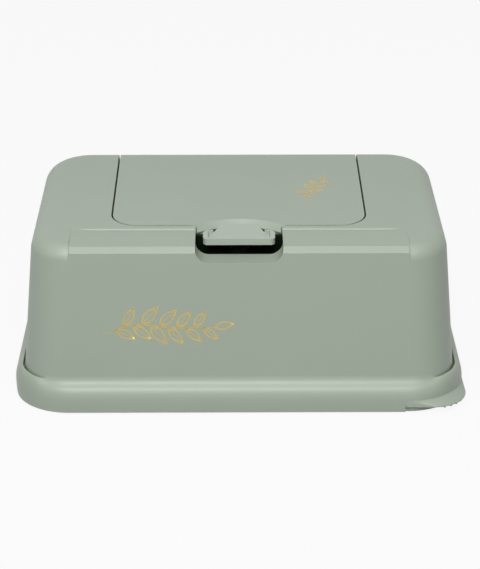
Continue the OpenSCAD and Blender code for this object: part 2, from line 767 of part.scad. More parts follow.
module lid() {
    half = lid_w / 2;
    color(sage) lid_frame() difference() {
        union() {
            difference() {
                union() {
                    intersection() {
                        along_x(-half, lid_w) lid_profile();
                        translate([0, 0, -edge_r]) linear_extrude(2 * edge_r)
                            front_rounded(half, lid_len, 2 * edge_r, lid_r);
                    }
                    translate([0, 0, rim_z]) linear_extrude(lid_under - rim_z + thin) difference() {
                        front_rounded(half, lid_len, -edge_r, lid_r);
                        front_rounded(half - rim_t, lid_len - rim_t, 0, lid_r - rim_t);
                    }
                    translate([-horn_half, -lid_len - horn_run, rim_z])
                        cube([2 * horn_half, horn_run + arch_depth, rim_drop]);
                }
                translate([0, -arch_y, 0]) rotate_extrude() polygon([
                    [0, -edge_r],
                    [arch_in, -edge_r],
                    [arch_in, edge_r - arch_drop],
                    [arch_r + 1, edge_r + 1],
                    [0, edge_r + 1]
                ]);
            }
            // Bosses for the liner
            lid_screw_places() translate([0, 0, liner_top]) cylinder(h = boss_l, r = lid_boss_r);
            // Hinge hubs with a web up to the lid and one to the rolled edge
            for (x = [hub_x, side_gap - half]) {
                rod(hub_r, x, x + hub_l);
                for (a = [0, -60]) rotate([a, 0, 0])
                    translate([x + web_inset, -web_t / 2, (pin_r + hub_r) / 2])
                    cube([hub_l - 2 * web_inset, web_t, lid_under + lid_t / 2 - (pin_r + hub_r) / 2]);
            }
            // Lugs that carry the latch pin
            for (x = [-lug_x - lug_t, lug_x]) {
                translate([0, -pivot_y, pivot_z]) rod(lug_r, x, x + lug_t);
                translate([x, -pivot_y, pivot_z - lug_foot])
                    cube([lug_t, pivot_y - lid_len + arch_depth, 2 * lug_foot - 1]);
                translate([x, arch_in - arch_y, pivot_z - lug_foot])
                    cube([lug_t, lug_back, lid_under - pivot_z + lug_foot + over / 4]);
            }
        }
        rod(pin_r + pin_run, -far / 2, far / 2);
        translate([0, -pivot_y, pivot_z]) rod(latch_pin_r + press_gap, -2 * lug_x, 2 * lug_x);
        lid_screw_places() cylinder(h = lid_under + 0.8, r = lid_shank_r + 0.05);
    }
}

module lid_liner() {
    color(sage_light) lid_frame() difference() {
        translate([0, -liner_y, liner_z]) linear_extrude(liner_t - seat_gap)
            rounded_rect(liner_w, liner_front - liner_rear, liner_r);
        lid_screw_places() cylinder(h = far, r = lid_shank_r + screw_gap);
    }
}

module lid_seal() {
    color(silicone) lid_frame() orifice_place() translate([0, 0, bead_h + side_gap])
        loop(lid_seal_w, lid_seal_d, seal_r, seal_lip, liner_z - bead_h - side_gap);
}

module lid_screws() {
    color(steel) lid_frame() lid_screw_places() translate([0, 0, liner_z])
        screw(lid_shank_r, liner_t + boss_l - 0.2, lid_head_r, lid_head_h);
}

module latch_pin() {
    color(steel) lid_frame() translate([0, -pivot_y, pivot_z])
        rod(latch_pin_r, -lug_x - lug_t, lug_x + lug_t);
}

module latch_spring() {
    coil_r = latch_pin_r + 0.25 + latch_wire_r;
    color(steel) lid_frame() translate([0, -pivot_y, pivot_z])
        wire(torsion(spring_x, coil_r, 4.3, 3.4 * latch_wire_r, 90, spring_leg), latch_wire_r);
}

module latch_tab() {
    color(sage_light) lid_frame() difference() {
        union() {
            translate([0, -(brim_front + brim_rear) / 2, tab_top - brim_t]) linear_extrude(brim_t)
                rounded_rect(tab_w, brim_d, brim_r);
            translate([0, 0, tab_top - crown_t]) linear_extrude(crown_t) polygon([
                [-crown_w / 2, -brim_rear - brim_r],
                [-crown_w / 2, -brim_rear],
                [-crown_top_w / 2 - 1.2, -crown_rear - 1],
                [-crown_top_w / 2, -crown_rear],
                [crown_top_w / 2, -crown_rear],
                [crown_top_w / 2 + 1.2, -crown_rear - 1],
                [crown_w / 2, -brim_rear],
                [crown_w / 2, -brim_rear - brim_r]
            ]);
        }
        translate([0, -brim_front + panel_edge / 2, tab_top - panel_drop]) linear_extrude(far)
            front_rounded(tab_w / 2 - panel_edge, 0, brim_d - panel_edge / 2 - 1.2, 1);
    }
}

module latch_hook() {
    plate_top = tab_top - brim_t;
    arm_rear = keeper_front + 0.4;
    arm_t = 1.7;
    nose_t = 2;
    color(ink) lid_frame() difference() {
        union() {
            translate([0, -pivot_y, pivot_z]) rod(lug_r + 0.2, side_gap - lug_x, 4);
            translate([side_gap - lug_x, -brim_front + 3, plate_top - 1.4])
                cube([2 * lug_x - 2 * side_gap, brim_d - 3 - 3, 1.4]);
            translate([side_gap - lug_x, -arm_rear - arm_t, pivot_z])
                cube([4 + lug_x - side_gap, arm_t + arm_rear - pivot_y, plate_top - pivot_z]);
            translate([-hook_w / 2, -arm_rear - arm_t, nose_top - nose_t])
                cube([hook_w, arm_t, plate_top - nose_top + nose_t]);
            translate([-hook_w / 2, -arm_rear - arm_t, nose_top - nose_t])
                cube([hook_w, arm_rear + arm_t - nose_y, nose_t]);
        }
        translate([0, -pivot_y, pivot_z]) rod(latch_pin_r + latch_run, -far / 2, far / 2);
    }
}

base_tray();
tray_feet();
tray_seal();
housing();
base_skirt();
scoop_cup();
deck();
deck_screws();
orifice();
orifice_ring();
latch_keeper();
lid_bumpers();
hinge_pins();
lid();
lid_liner();
lid_seal();
lid_screws();
latch_pin();
latch_spring();
latch_tab();
latch_hook();
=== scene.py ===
"""Countertop wipes dispenser: smooth moulded shells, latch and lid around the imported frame.

Every length of a piece is in millimetres until the piece is finished, and its mesh is then
brought to metres. The lights and the camera are placed in metres. The front faces -Y, and
the hinge axis lies along X. The leaning frame is the lid's: its origin is on the hinge axis,
and its Y and Z lean back with the top.
"""

import json
import math

import bmesh
import bpy
from mathutils import Matrix, Vector


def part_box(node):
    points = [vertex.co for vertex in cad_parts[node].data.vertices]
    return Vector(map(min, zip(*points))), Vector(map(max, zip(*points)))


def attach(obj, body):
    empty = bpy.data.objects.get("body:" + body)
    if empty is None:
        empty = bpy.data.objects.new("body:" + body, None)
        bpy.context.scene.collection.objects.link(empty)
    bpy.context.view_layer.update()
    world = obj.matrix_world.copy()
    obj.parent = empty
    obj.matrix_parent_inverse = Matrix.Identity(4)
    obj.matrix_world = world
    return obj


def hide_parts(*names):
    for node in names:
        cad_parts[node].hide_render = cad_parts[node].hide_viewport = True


bl_info = {
    "name": "Wipes dispenser",
    "version": (1, 0, 0),
    "blender": (4, 5, 0),
    "location": "3D View > Sidebar > Dispenser",
    "description": "Builds the shells, lid, latch and stage of a countertop wipes dispenser",
    "category": "Add Mesh",
}

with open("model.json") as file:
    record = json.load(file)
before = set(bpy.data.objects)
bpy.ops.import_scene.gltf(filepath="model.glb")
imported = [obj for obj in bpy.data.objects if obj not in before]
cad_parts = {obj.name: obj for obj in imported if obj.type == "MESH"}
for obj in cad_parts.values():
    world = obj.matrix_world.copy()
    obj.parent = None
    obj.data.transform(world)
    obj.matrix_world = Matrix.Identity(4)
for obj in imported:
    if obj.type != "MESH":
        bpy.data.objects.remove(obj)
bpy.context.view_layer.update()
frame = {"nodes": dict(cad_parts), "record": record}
CAD_NODES = frame["nodes"]

MM = 0.001
CORNER_STEPS = 20  # steps round a quarter turn of an outline
ROW_POINTS = 17  # points in an upright row of the housing's wall
HALVINGS = 30  # steps of the search for the angle where wall and shoulder touch
PAST = 20  # how far a cutting solid passes what it cuts
SLACK = 0.1  # clearance between pieces that are fixed together
BOSS_EDGE = 2  # distance of a boss from the liner's edge
LIGHT_AIM = (0, 0, 0.06)  # the point that the lights face, in metres


# ---------------------------------------------------------------- settings


def length(name, description, millimetres):
    """A length property, given in millimetres and kept in metres."""
    return bpy.props.FloatProperty(
        name=name, description=description, default=millimetres * MM, unit="LENGTH", precision=5
    )


def angle(name, description, degrees):
    """An angle property, given in degrees and kept in radians."""
    return bpy.props.FloatProperty(
        name=name, description=description, default=math.radians(degrees), subtype="ANGLE"
    )


def colour(name, description, red, green, blue):
    """A colour property, given as it shows on a screen, from 0 to 255."""
    shown = [red / 255, green / 255, blue / 255]
    linear = [c / 12.92 if c < 0.04045 else ((c + 0.055) / 1.055) ** 2.4 for c in shown]
    return bpy.props.FloatVectorProperty(
        name=name, description=description, default=linear, subtype="COLOR", min=0, max=1
    )


class ShellSizes(bpy.types.PropertyGroup):
    """Sizes of the housing and of the skirt round its foot."""

    skirt_w: length("Skirt width", "Width over the skirt", 255)
    skirt_d: length("Skirt depth", "Depth over the skirt", 159)
    skirt_r: length("Skirt corner", "Plan radius of the skirt's corners", 33)
    skirt_z0: length("Skirt gap", "Gap between the counter and the skirt", 1)
    skirt_face_h: length("Skirt face", "Height of the top of the skirt's upright face", 8.5)
    skirt_h: length("Skirt height", "Height of the skirt's top edge", 19.2)
    skirt_out: length("Skirt reach", "How far the skirt stands out from the housing", 6)
    skirt_wall: length("Skirt wall", "Thickness of the skirt where it hangs over the tray", 1.5)
    skirt_lean: length("Skirt lean", "How far the skirt's face leans in at its foot", 0.5)
    groove_w: length("Groove width", "Width of the groove between skirt and housing", 1.4)
    groove_h: length("Groove depth", "Depth of the groove between skirt and housing", 4.2)
    fillet_h: length("Fillet height", "Height at which the front fillet meets the wall", 21.6)
    height: length("Height", "Overall height", 103)
    wall: length("Wall", "Wall of the housing", 2.5)
    foot_z: length("Housing foot", "Height of the housing's lower edge", 6.7)
    side_draft: angle("Side draft", "Lean of the side walls", 5)
    front_draft: angle("Front draft", "Lean of the front wall", 2.4)
    rear_draft: angle("Rear draft", "Lean of the rear wall", 1.2)
    top_tilt: angle("Top tilt", "Rise of the top towards the back", 2.4)
    body_r: length("Foot corner", "Plan radius of the housing's corners at the counter", 24)
    front_corner_r: length("Front corner", "Plan radius of the front corners at the top", 22)
    rear_corner_r: length("Rear corner", "Plan radius of the rear corners at the top", 27)
    front_edge_r: length("Front shoulder", "Radius of the shoulders at the front corners", 9)
    edge_r: length("Rear shoulder", "Radius of the rear crest and of its shoulders", 12)
    band_half: length("Bevel half length", "Half the length of the bevelled front edge", 92.9)
    band_run: length("Bevel depth", "Depth of the bevel, front to back", 3.3)
    band_rise: length("Bevel rise", "Height of the bevel", 2.6)
    strip_step: length("Strip step", "Drop from the lid's plane to the strip in front of it", 0.8)
    strip_gap: length("Strip margin", "Distance of the strip in front of the lid opening", 3.8)
    strip_taper: length("Strip taper", "Length over which the step dies away at its ends", 12)


class ScoopSizes(bpy.types.PropertyGroup):
    """Sizes of the finger scoop and of the notched lift corner."""

    scoop_w: length("Scoop width", "Width of the scoop", 48.2)
    scoop_drop: length("Scoop drop", "Depth of the scoop's floor below the bevel", 8.4)
    scoop_r: length("Scoop corner", "Radius of the scoop's lower corners", 7.5)
    ledge_run: length("Ledge", "Length of the scoop's floor, front to back", 12.6)
    cup_wall: length("Cup wall", "Wall of the black cup", 1.6)
    notch_x: length("Notch start", "Distance of the notch's end from the middle, at the front", 93)
    notch_y: length("Notch end", "Distance of the notch's end from the middle, at the side", 43)
    notch_h: length("Notch height", "Height of the notch", 5.4)
    lip_z: length("Lip height", "Height of the lift lip's lower edge", 4.3)
    lip_r: length("Lip corner", "Plan radius of the lift lip's corner", 20)
    lip_out: length("Lip reach", "How far the lift lip stands out at the side", 1)
    rib_w: length("Grip rib", "Width of a grip rib under the lift lip", 1.2)


class LidSizes(bpy.types.PropertyGroup):
    """Sizes of the lid and of its hinge."""

    lid_w: length("Lid width", "Width of the lid", 141.8)
    front_margin: length("Lid margin", "Distance of the lid's front edge behind the bevel", 26)
    lid_t: length("Lid thickness", "Thickness of the lid", 2.4)
    lid_r: length("Lid corner", "Plan radius of the lid's front corners", 15)
    lid_gap: length("Side gap", "Gap beside the lid", 1)
    front_gap: length("Front gap", "Gap in front of the lid", 0.8)
    roll_gap: length("Roll gap", "Clearance round the rolled rear edge", 0.6)
    roll_angle: angle("Roll", "Angle that the rolled edge reaches below the axis", 27)
    rim_t: length("Rim wall", "Wall of the lid's rim", 2)
    rim_drop: length("Rim depth", "Depth of the lid's rim below the top", 5.5)
    arch_r: length("Arch radius", "Radius of the arch that clears the tab", 43.2)
    arch_depth: length("Arch depth", "How far the arch reaches back from the front edge", 8.7)
    arch_drop: length("Arch drop", "Height of the arch's slope", 3.4)
    horn_run: length("Horn reach", "How far the lid's horns pass its front edge", 4)
    hub_x: length("Hub place", "Inner end of the hinge hubs, from the middle", 60)
    hub_r: length("Hub radius", "Radius of the hinge hubs", 4.6)
    pin_r: length("Pin radius", "Radius of the hinge pins", 2)
    pin_run: length("Pin clearance", "Running clearance of the hinge pins", 0.05)
    web_t: length("Hub web", "Thickness of the webs that carry the hubs", 3)
    lug_x: length("Lug place", "Inner face of the latch lugs, from the middle", 9.2)
    lug_t: length("Lug thickness", "Thickness of the latch lugs", 2.2)
    lug_r: length("Lug radius", "Radius of the latch lugs", 2.2)


class InsideSizes(bpy.types.PropertyGroup):
    """Sizes of the membrane, the seals, the feet and the screws."""

    liner_side: length("Liner side", "Distance of the liner from the lid's sides", 11)
    liner_front_gap: length("Liner front", "Distance of the liner behind the front edge", 10.6)
    liner_rear: length("Liner rear", "Rear edge of the liner, from the hinge axis", 16)
    liner_t: length("Liner thickness", "Thickness of the liner", 1.6)
    boss_l: length("Boss length", "Length of the bosses between lid and liner", 3.4)
    boss_r: length("Boss radius", "Radius of the bosses between lid and liner", 2.6)
    seal_side: length("Seal side", "Distance of the seal from the liner's sides", 8)
    seal_margin: length("Seal margin", "Distance of the seal from the liner, front and rear", 5.5)
    seal_r: length("Seal corner", "Plan radius of the seal's corners", 18)
    seal_lip: length("Seal width", "Width of the seal's foot", 3)
    orifice_side: length("Opening side", "Distance of the opening from the seal, sideways", 14)
    orifice_margin: length("Opening margin", "Distance of the opening from the seal, in depth", 13)
    orifice_r: length("Opening corner", "Plan radius of the opening in the deck", 12)
    membrane_edge: length("Membrane edge", "How far the membrane lies on the deck", 4)
    membrane_dish: length("Membrane dish", "How far the membrane sinks round its slot", 1.6)
    slot_w: length("Slot width", "Width of the dispensing slot", 44)
    slot_d: length("Slot depth", "Length of the dispensing slot, front to back", 6)
    tray_h: length("Tray rim", "Height of the tray's rim", 5.6)
    tray_gap: length("Tray clearance", "Clearance of the tray in the skirt", 0.35)
    upstand_h: length("Tray wall", "Height of the tray's inner wall", 16)
    upstand_gap: length("Wall clearance", "Clearance of the tray's inner wall", 0.4)
    seal_t: length("Gasket", "Thickness of the gasket on the tray's rim", 1)
    foot_r: length("Foot radius", "Radius of a foot", 7)
    foot_h: length("Foot height", "Height of a foot", 1.6)
    foot_x: length("Foot place", "Sideways distance of the feet from the middle", 100)
    foot_y: length("Foot row", "Distance of the feet from the middle, front to back", 50)
    bumper_r: length("Bumper radius", "Radius of a lid bumper", 2.4)
    deck_head_r: length("Deck screw head", "Radius of the deck screws' heads", 2.3)
    deck_head_h: length("Deck screw height", "Height of the deck screws' heads", 1.4)
    deck_shank_r: length("Deck screw shank", "Radius of the deck screws' shanks", 1.2)
    deck_screw_out: length("Deck screw place", "Distance of the deck screws from the well", 7)
    deck_screw_front: length("Deck screw front", "Distance of the front deck screws", 15)
    deck_screw_rear: length("Deck screw rear", "Distance of the rear deck screws", 20)
    ear_drop: length("Screw ear", "Depth of the screw ears below the deck's top", 6)
    lid_head_r: length("Lid screw head", "Radius of the lid screws' heads", 1.8)
    lid_head_h: length("Lid screw height", "Height of the lid screws' heads", 1)
    lid_shank_r: length("Lid screw shank", "Radius of the lid screws' shanks", 0.8)


class LatchSizes(bpy.types.PropertyGroup):
    """Sizes of the thumb tab and of its spring."""

    tab_w: length("Tab width", "Width of the tab", 39.7)
    brim_d: length("Brim depth", "Length of the tab's brim, front to back", 12)
    brim_t: length("Brim thickness", "Thickness of the brim", 3.7)
    brim_r: length("Brim front corner", "Radius of the brim's front corners", 2.6)
    brim_rear_r: length("Brim rear corner", "Radius of the brim's rear corners", 3.8)
    brim_gap: length("Brim gap", "Distance of the brim in front of the lid's front edge", 6)
    crown_w: length("Crown width", "Width of the crown at its foot", 27.4)
    crown_top_w: length("Crown top", "Width of the crown at its rear edge", 20)
    crown_top_r: length("Crown shoulder", "Radius of the crown's shoulders", 2.8)
    crown_foot_r: length("Crown fillet", "Radius between the crown and the brim", 1.6)
    crown_d: length("Crown depth", "Length of the crown", 8.7)
    crown_t: length("Crown thickness", "Thickness of the crown", 2.6)
    tab_drop: length("Tab drop", "Drop of the tab below the lid's plane", 0.1)
    panel_drop: length("Panel depth", "Depth of the thumb panel", 1.4)
    panel_edge: length("Panel border", "Border round the thumb panel", 3.4)
    panel_slope: length("Panel slope", "How far the thumb panel's walls lean out", 0.8)
    latch_y: length("Latch pin place", "Distance of the latch pin before the lid", 5.6)
    latch_z: length("Latch pin depth", "Depth of the latch pin below the lid's plane", 6.3)
    latch_pin_r: length("Latch pin", "Radius of the latch pin", 1)
    wire_r: length("Spring wire", "Wire radius of the latch spring", 0.25)
    spring_x: length("Spring place", "Start of the latch spring, from the middle", 4.9)
    spring_leg: length("Spring leg", "Length of the latch spring's legs", 2.2)


class Finishes(bpy.types.PropertyGroup):
    """Colours of the finishes."""

    sage: colour("Sage", "Shells in sage green", 157, 168, 153)
    tab: colour("Tab", "Thumb tab in pale sage", 168, 180, 167)
    inner: colour("Inner", "Inner mouldings", 160, 170, 156)
    # Painted shade: a near-black that stands in for the deep shadow inside the finger scoop
    ink: colour("Black", "Black insert", 17, 24, 14)
    silicone: colour("Silicone", "Seals and membrane", 200, 204, 198)
    rubber: colour("Rubber", "Feet", 38, 39, 38)
    steel: colour("Steel", "Pins and screws", 190, 192, 194)
    foil: colour("Foil", "Gold foil print", 196, 178, 118)


class StageSettings(bpy.types.PropertyGroup):
    """Camera and lights."""

    focal: bpy.props.FloatProperty(name="Lens", description="Focal length in mm", default=122.95)
    distance: length("Camera distance", "Distance of the camera from its target", 1142.1)
    elevation: angle("Camera elevation", "Angle of the camera above the counter", 23.81)
    turn: angle("Camera turn", "Angle of the camera to the left of the front", 0.343)
    target_x: length("Target across", "Sideways place of the camera's target", 0.85)
    target_z: length("Target height", "Height of the camera's target", 44.54)
    key_left: bpy.props.FloatProperty(
        name="Left key", description="Power of the softbox at the front left", default=0.75
    )
    front: bpy.props.FloatProperty(
        name="Front light", description="Power of the high softbox in front", default=17.2
    )
    top: bpy.props.FloatProperty(
        name="Top light", description="Power of the softbox overhead", default=3.0
    )
    world: bpy.props.FloatProperty(name="Room", description="Strength of the room", default=0.1)


GROUPS = {
    "shell": ShellSizes,
    "scoop": ScoopSizes,
    "lid": LidSizes,
    "inside": InsideSizes,
    "latch": LatchSizes,
    "finish": Finishes,
    "stage": StageSettings,
}
LENGTHS = ("shell", "scoop", "lid", "inside", "latch")


class Sizes:
    """Reads every length of the property groups in millimetres, and every angle in radians."""

    def __getattr__(self, key):
        scene = bpy.context.scene
        for name in LENGTHS:
            group = getattr(scene, "dispenser_" + name)
            if key in group.bl_rna.properties:
                value = getattr(group, key)
                is_angle = group.bl_rna.properties[key].subtype == "ANGLE"
                return value if is_angle else value / MM
        raise AttributeError(key)


S = Sizes()


# ---------------------------------------------------------------- the dispenser's form


def side_x(z):
    """Half width of the housing at height z."""
    return S.skirt_w / 2 - S.skirt_out + (S.skirt_h - z) * math.tan(S.side_draft)


def front_y(z):
    """Place of the housing's front wall at height z."""
    return S.skirt_out - S.skirt_d / 2 - (S.skirt_h - z) * math.tan(S.front_draft)


def rear_y(z):
    """Place of the housing's rear wall at height z."""
    return S.skirt_d / 2 - S.skirt_out + (S.skirt_h - z) * math.tan(S.rear_draft)


def hinge_z():
    """Height of the hinge axis."""
    return S.height - S.edge_r


def hinge_y():
    """Place of the hinge axis, front to back."""
    return rear_y(hinge_z()) - S.edge_r / math.cos(S.rear_draft)


def lid_place():
    """The leaning frame of the lid, with the hinge axis along X at its origin."""
    return Matrix.Translation((0, hinge_y(), hinge_z())) @ Matrix.Rotation(S.top_tilt, 4, "X")


def front_z():
    """Height of the middle of the front corners' rings."""
    run = hinge_y() + S.skirt_d / 2 - S.skirt_out - S.front_edge_r
    rise = S.edge_r - S.front_edge_r
    return hinge_z() + rise - run * math.tan(S.top_tilt)


def front_run():
    """Distance of the front corners' rings in front of the hinge axis."""
    return hinge_y() - front_y(front_z()) - S.front_edge_r / math.cos(S.front_draft)


def corner_ring(sx, sy):
    """Core radius, edge radius, rise and middle of a top corner, in the leaning frame."""
    edge = S.front_edge_r if sy < 0 else S.edge_r
    core = (S.front_corner_r if sy < 0 else S.rear_corner_r) - edge
    z = front_z() if sy < 0 else hinge_z()
    x = side_x(z) - edge / math.cos(S.side_draft) - core
    y = core - front_run() if sy < 0 else -core
    return core, edge, S.edge_r - edge, (sx * x, y)


def corner_turns():
    """The sides of each corner and the directions round it, anticlockwise from the front."""
    for sx, sy, start in ((1, -1, -90), (1, 1, 0), (-1, 1, 90), (-1, -1, 180)):
        for i in range(CORNER_STEPS + 1):
            yield sx, sy, math.radians(start + 90 * i / CORNER_STEPS)


def top_line_z(y):
    """Height of the leaning top plane above the place y."""
    lift = S.edge_r / math.cos(S.top_tilt)
    return hinge_z() + lift - (hinge_y() - y) * math.tan(S.top_tilt)


def band_y():
    """Place of the bevel's rear edge."""
    middle = S.skirt_out - S.skirt_d / 2
    return front_y(top_line_z(middle) - S.strip_step) + S.band_run


def band_z():
    """Height of the bevel's rear edge."""
    return top_line_z(band_y()) - S.strip_step


def lid_len():
    """Distance of the lid's front edge from the hinge axis, along the lid."""
    run = hinge_y() - band_y() - (S.edge_r - S.strip_step) * math.sin(S.top_tilt)
    return run / math.cos(S.top_tilt) - S.front_margin


def open_half():
    """Half width of the lid opening."""
    return S.lid_w / 2 + S.lid_gap


def open_front():
    """Distance of the lid opening's front edge from the hinge axis."""
    return lid_len() + S.front_gap


def ledge_z():
    """Height of the scoop's floor."""
    return band_z() - S.scoop_drop


def ledge_y():
    """Place of the rear end of the scoop's floor."""
    return front_y(ledge_z()) + S.ledge_run


def lip_middle():
    """Middle of the lift lip's rounded corner, seen from above."""
    x = S.skirt_w / 2 + S.lip_out - S.lip_r
    return x, S.lip_r - S.skirt_d / 2 - S.lip_out / 2


def pivot():
    """The latch pin's axis in the leaning frame: its place and height."""
    return -lid_len() - S.latch_y, S.edge_r - S.latch_z


def liner_size():
    """Width, depth and middle of the lid's liner in the leaning frame."""
    front = lid_len() - S.liner_front_gap
    return S.lid_w - 2 * S.liner_side, front - S.liner_rear, -(front + S.liner_rear) / 2


def seal_size():
    """Width and depth of the lid's seal."""
    w, d, _ = liner_size()
    return w - 2 * S.seal_side, d - 2 * S.seal_margin


def liner_top():
    """Height of the liner's upper side in the leaning frame, where the lid's bosses end."""
    return S.edge_r - S.lid_t - S.boss_l + SLACK


def ear_z():
    """Height of the underside of the deck's screw ears in the leaning frame."""
    return S.edge_r - S.wall - SLACK - S.ear_drop


def deck_screw_spots():
    """Sideways distance of the deck's screws from the middle, and their front and rear rows."""
    x = open_half() + SLACK + S.deck_screw_out
    return x, -open_front() + S.deck_screw_front, -S.deck_screw_rear


def plan_outline(inset, z):
    """The housing's outline at height z, drawn in by inset."""
    w = 2 * (side_x(z) - inset)
    d = rear_y(z) - front_y(z) - 2 * inset
    middle = (0, (rear_y(z) + front_y(z)) / 2)
    return rounded_rect(w, d, S.body_r - inset, CORNER_STEPS, middle)


# ---------------------------------------------------------------- outlines


def arc(cx, cy, r, start, end, steps):
    """Points on an arc, from start to end in degrees, both ends among them."""
    turn = [math.radians(start + (end - start) * i / steps) for i in range(steps + 1)]
    return [(cx + r * math.cos(a), cy + r * math.sin(a)) for a in turn]


def circle(cx, cy, r, steps):
    """Points round a circle."""
    return arc(cx, cy, r, 0, 360 - 360 / steps, steps - 1)


def round_corner(before, corner, after, r, steps):
    """Points of an arc of radius r that rounds a corner of a polyline in the plane."""
    a = (Vector(before) - Vector(corner)).normalized()
    b = (Vector(after) - Vector(corner)).normalized()
    half = a.angle(b) / 2
    reach = r / math.tan(half)
    middle = Vector(corner) + (a + b).normalized() * (r / math.sin(half))
    start = Vector(corner) + a * reach - middle
    end = Vector(corner) + b * reach - middle
    sweep = start.angle_signed(end)
    points = []
    for i in range(steps):
        spoke = Matrix.Rotation(-sweep * i / (steps - 1), 2) @ start
        points.append(tuple(middle + spoke))
    return points


def rounded_rect(w, d, r, steps, middle):
    """A rectangle with rounded corners, anticlockwise."""
    cx, cy = middle
    points = []
    for turn, sx, sy in ((0, 1, 1), (90, -1, 1), (180, -1, -1), (270, 1, -1)):
        corner = (cx + sx * (w / 2 - r), cy + sy * (d / 2 - r))
        points += arc(*corner, r, turn, turn + 90, steps)
    return points


def rounded_polygon(corners, radii, steps=8):
    """A polygon, anticlockwise, with each corner rounded by its own radius."""
    points = []
    count = len(corners)
    for i in range(count):
        before, after = corners[i - 1], corners[(i + 1) % count]
        points += round_corner(before, corners[i], after, radii[i], steps)
    return points


def front_rounded(half, front, rear, r, steps=CORNER_STEPS):
    """A plate from y = -front to y = rear, with rounded front corners, anticlockwise."""
    points = [(half, rear), (-half, rear)]
    points += arc(r - half, r - front, r, 180, 270, steps)
    points += arc(half - r, r - front, r, 270, 360, steps)
    return points


def smooth_step(value, low, high):
    """0 below low, 1 above high, with a soft passage."""
    x = min(max((value - low) / (high - low), 0), 1)
    return x * x * (3 - 2 * x)


# ---------------------------------------------------------------- solids


def mesh_object(name, verts, faces):
    """A new object with its mesh in millimetres and its normals outwards."""
    mesh = bpy.data.meshes.new(name)
    mesh.from_pydata([tuple(v) for v in verts], [], faces)
    shape = bmesh.new()
    shape.from_mesh(mesh)
    bmesh.ops.recalc_face_normals(shape, faces=shape.faces)
    shape.to_mesh(mesh)
    shape.free()
    obj = bpy.data.objects.new(name, mesh)
    bpy.context.scene.collection.objects.link(obj)
    return obj


def loft(name, rings, ends=True, closed=False):
    """Joins rings of equally many points. ends caps the first and last, closed joins them."""
    count = len(rings[0])
    verts = [p for ring in rings for p in ring]
    faces = []
    spans = len(rings) if closed else len(rings) - 1
    for i in range(spans):
        low = i * count
        high = ((i + 1) % len(rings)) * count
        for k in range(count):
            n = (k + 1) % count
            faces.append((low + k, low + n, high + n, high + k))
    if ends and not closed:
        faces.append(tuple(range(count - 1, -1, -1)))
        faces.append(tuple(range((len(rings) - 1) * count, len(rings) * count)))
    return mesh_object(name, verts, faces)


def prism(name, outline, low, high, place=Matrix()):
    """An outline in X and Y, raised from low to high."""
    rings = [[place @ Vector((x, y, z)) for x, y in outline] for z in (low, high)]
    return loft(name, rings)


def bar(name, outline, low, high, place=Matrix()):
    """An outline in Y and Z, drawn along X from low to high."""
    rings = [[place @ Vector((x, y, z)) for y, z in outline] for x in (low, high)]
    return loft(name, rings)


def box(name, low, high, place=Matrix()):
    """A box between two corners."""
    outline = [(low[0], low[1]), (high[0], low[1]), (high[0], high[1]), (low[0], high[1])]
    return prism(name, outline, low[2], high[2], place)


def rod(name, r, low, high, y, z, place=Matrix(), steps=32):
    """A rod along X from low to high."""
    return bar(name, circle(y, z, r, steps), low, high, place)


def turned(name, profile, middle, place=Matrix(), steps=48):
    """A closed profile of (radius, z) points turned about an axis along Z at middle."""
    cx, cy = middle
    rings = []
    for i in range(steps):
        a = 2 * math.pi * i / steps
        c, s = math.cos(a), math.sin(a)
        rings.append([place @ Vector((cx + r * c, cy + r * s, z)) for r, z in profile])
    return weld(loft(name, rings, ends=False, closed=True))


def ring_of(name, outer, inner, profile, place=Matrix()):
    """A ring between two outlines. profile holds (share of the way in, height) points."""
    rings = []
    for share, z in profile:
        ring = []
        for a, b in zip(outer, inner):
            x = a[0] + (b[0] - a[0]) * share
            y = a[1] + (b[1] - a[1]) * share
            ring.append(place @ Vector((x, y, z)))
        rings.append(ring)
    return loft(name, rings, ends=False, closed=True)


def weld(obj):
    """Merges points that lie together, and turns the normals out again."""
    same_place = 0.001
    shape = bmesh.new()
    shape.from_mesh(obj.data)
    bmesh.ops.remove_doubles(shape, verts=shape.verts, dist=same_place)
    bmesh.ops.dissolve_degenerate(shape, edges=shape.edges, dist=same_place)
    bmesh.ops.recalc_face_normals(shape, faces=shape.faces)
    shape.to_mesh(obj.data)
    shape.free()
    return obj


def join(pieces):
    """Puts the meshes of several pieces in the first one."""
    shape = bmesh.new()
    for piece in pieces:
        shape.from_mesh(piece.data)
    shape.to_mesh(pieces[0].data)
    shape.free()
    for piece in pieces[1:]:
        bpy.data.objects.remove(piece)
    return pieces[0]


def bake_modifiers(obj):
    """Puts the evaluated mesh in the object's own and drops its modifiers."""
    bpy.context.view_layer.update()
    graph = bpy.context.evaluated_depsgraph_get()
    mesh = bpy.data.meshes.new_from_object(obj.evaluated_get(graph))
    obj.modifiers.clear()
    old = obj.data
    obj.data = mesh
    bpy.data.meshes.remove(old)
    return obj


def boolean(obj, others, operation):
    """Applies the other pieces to this one, one after the other, and removes them."""
    for other in others:
        step = obj.modifiers.new("boolean", "BOOLEAN")
        step.operation = operation
        step.solver = "EXACT"
        step.object = other
        bake_modifiers(obj)
        bpy.data.objects.remove(other)
    return obj


def cut(obj, *others):
    return boolean(obj, others, "DIFFERENCE")


def add(obj, *others):
    return boolean(obj, others, "UNION")


def keep_inside(obj, *others):
    return boolean(obj, others, "INTERSECT")


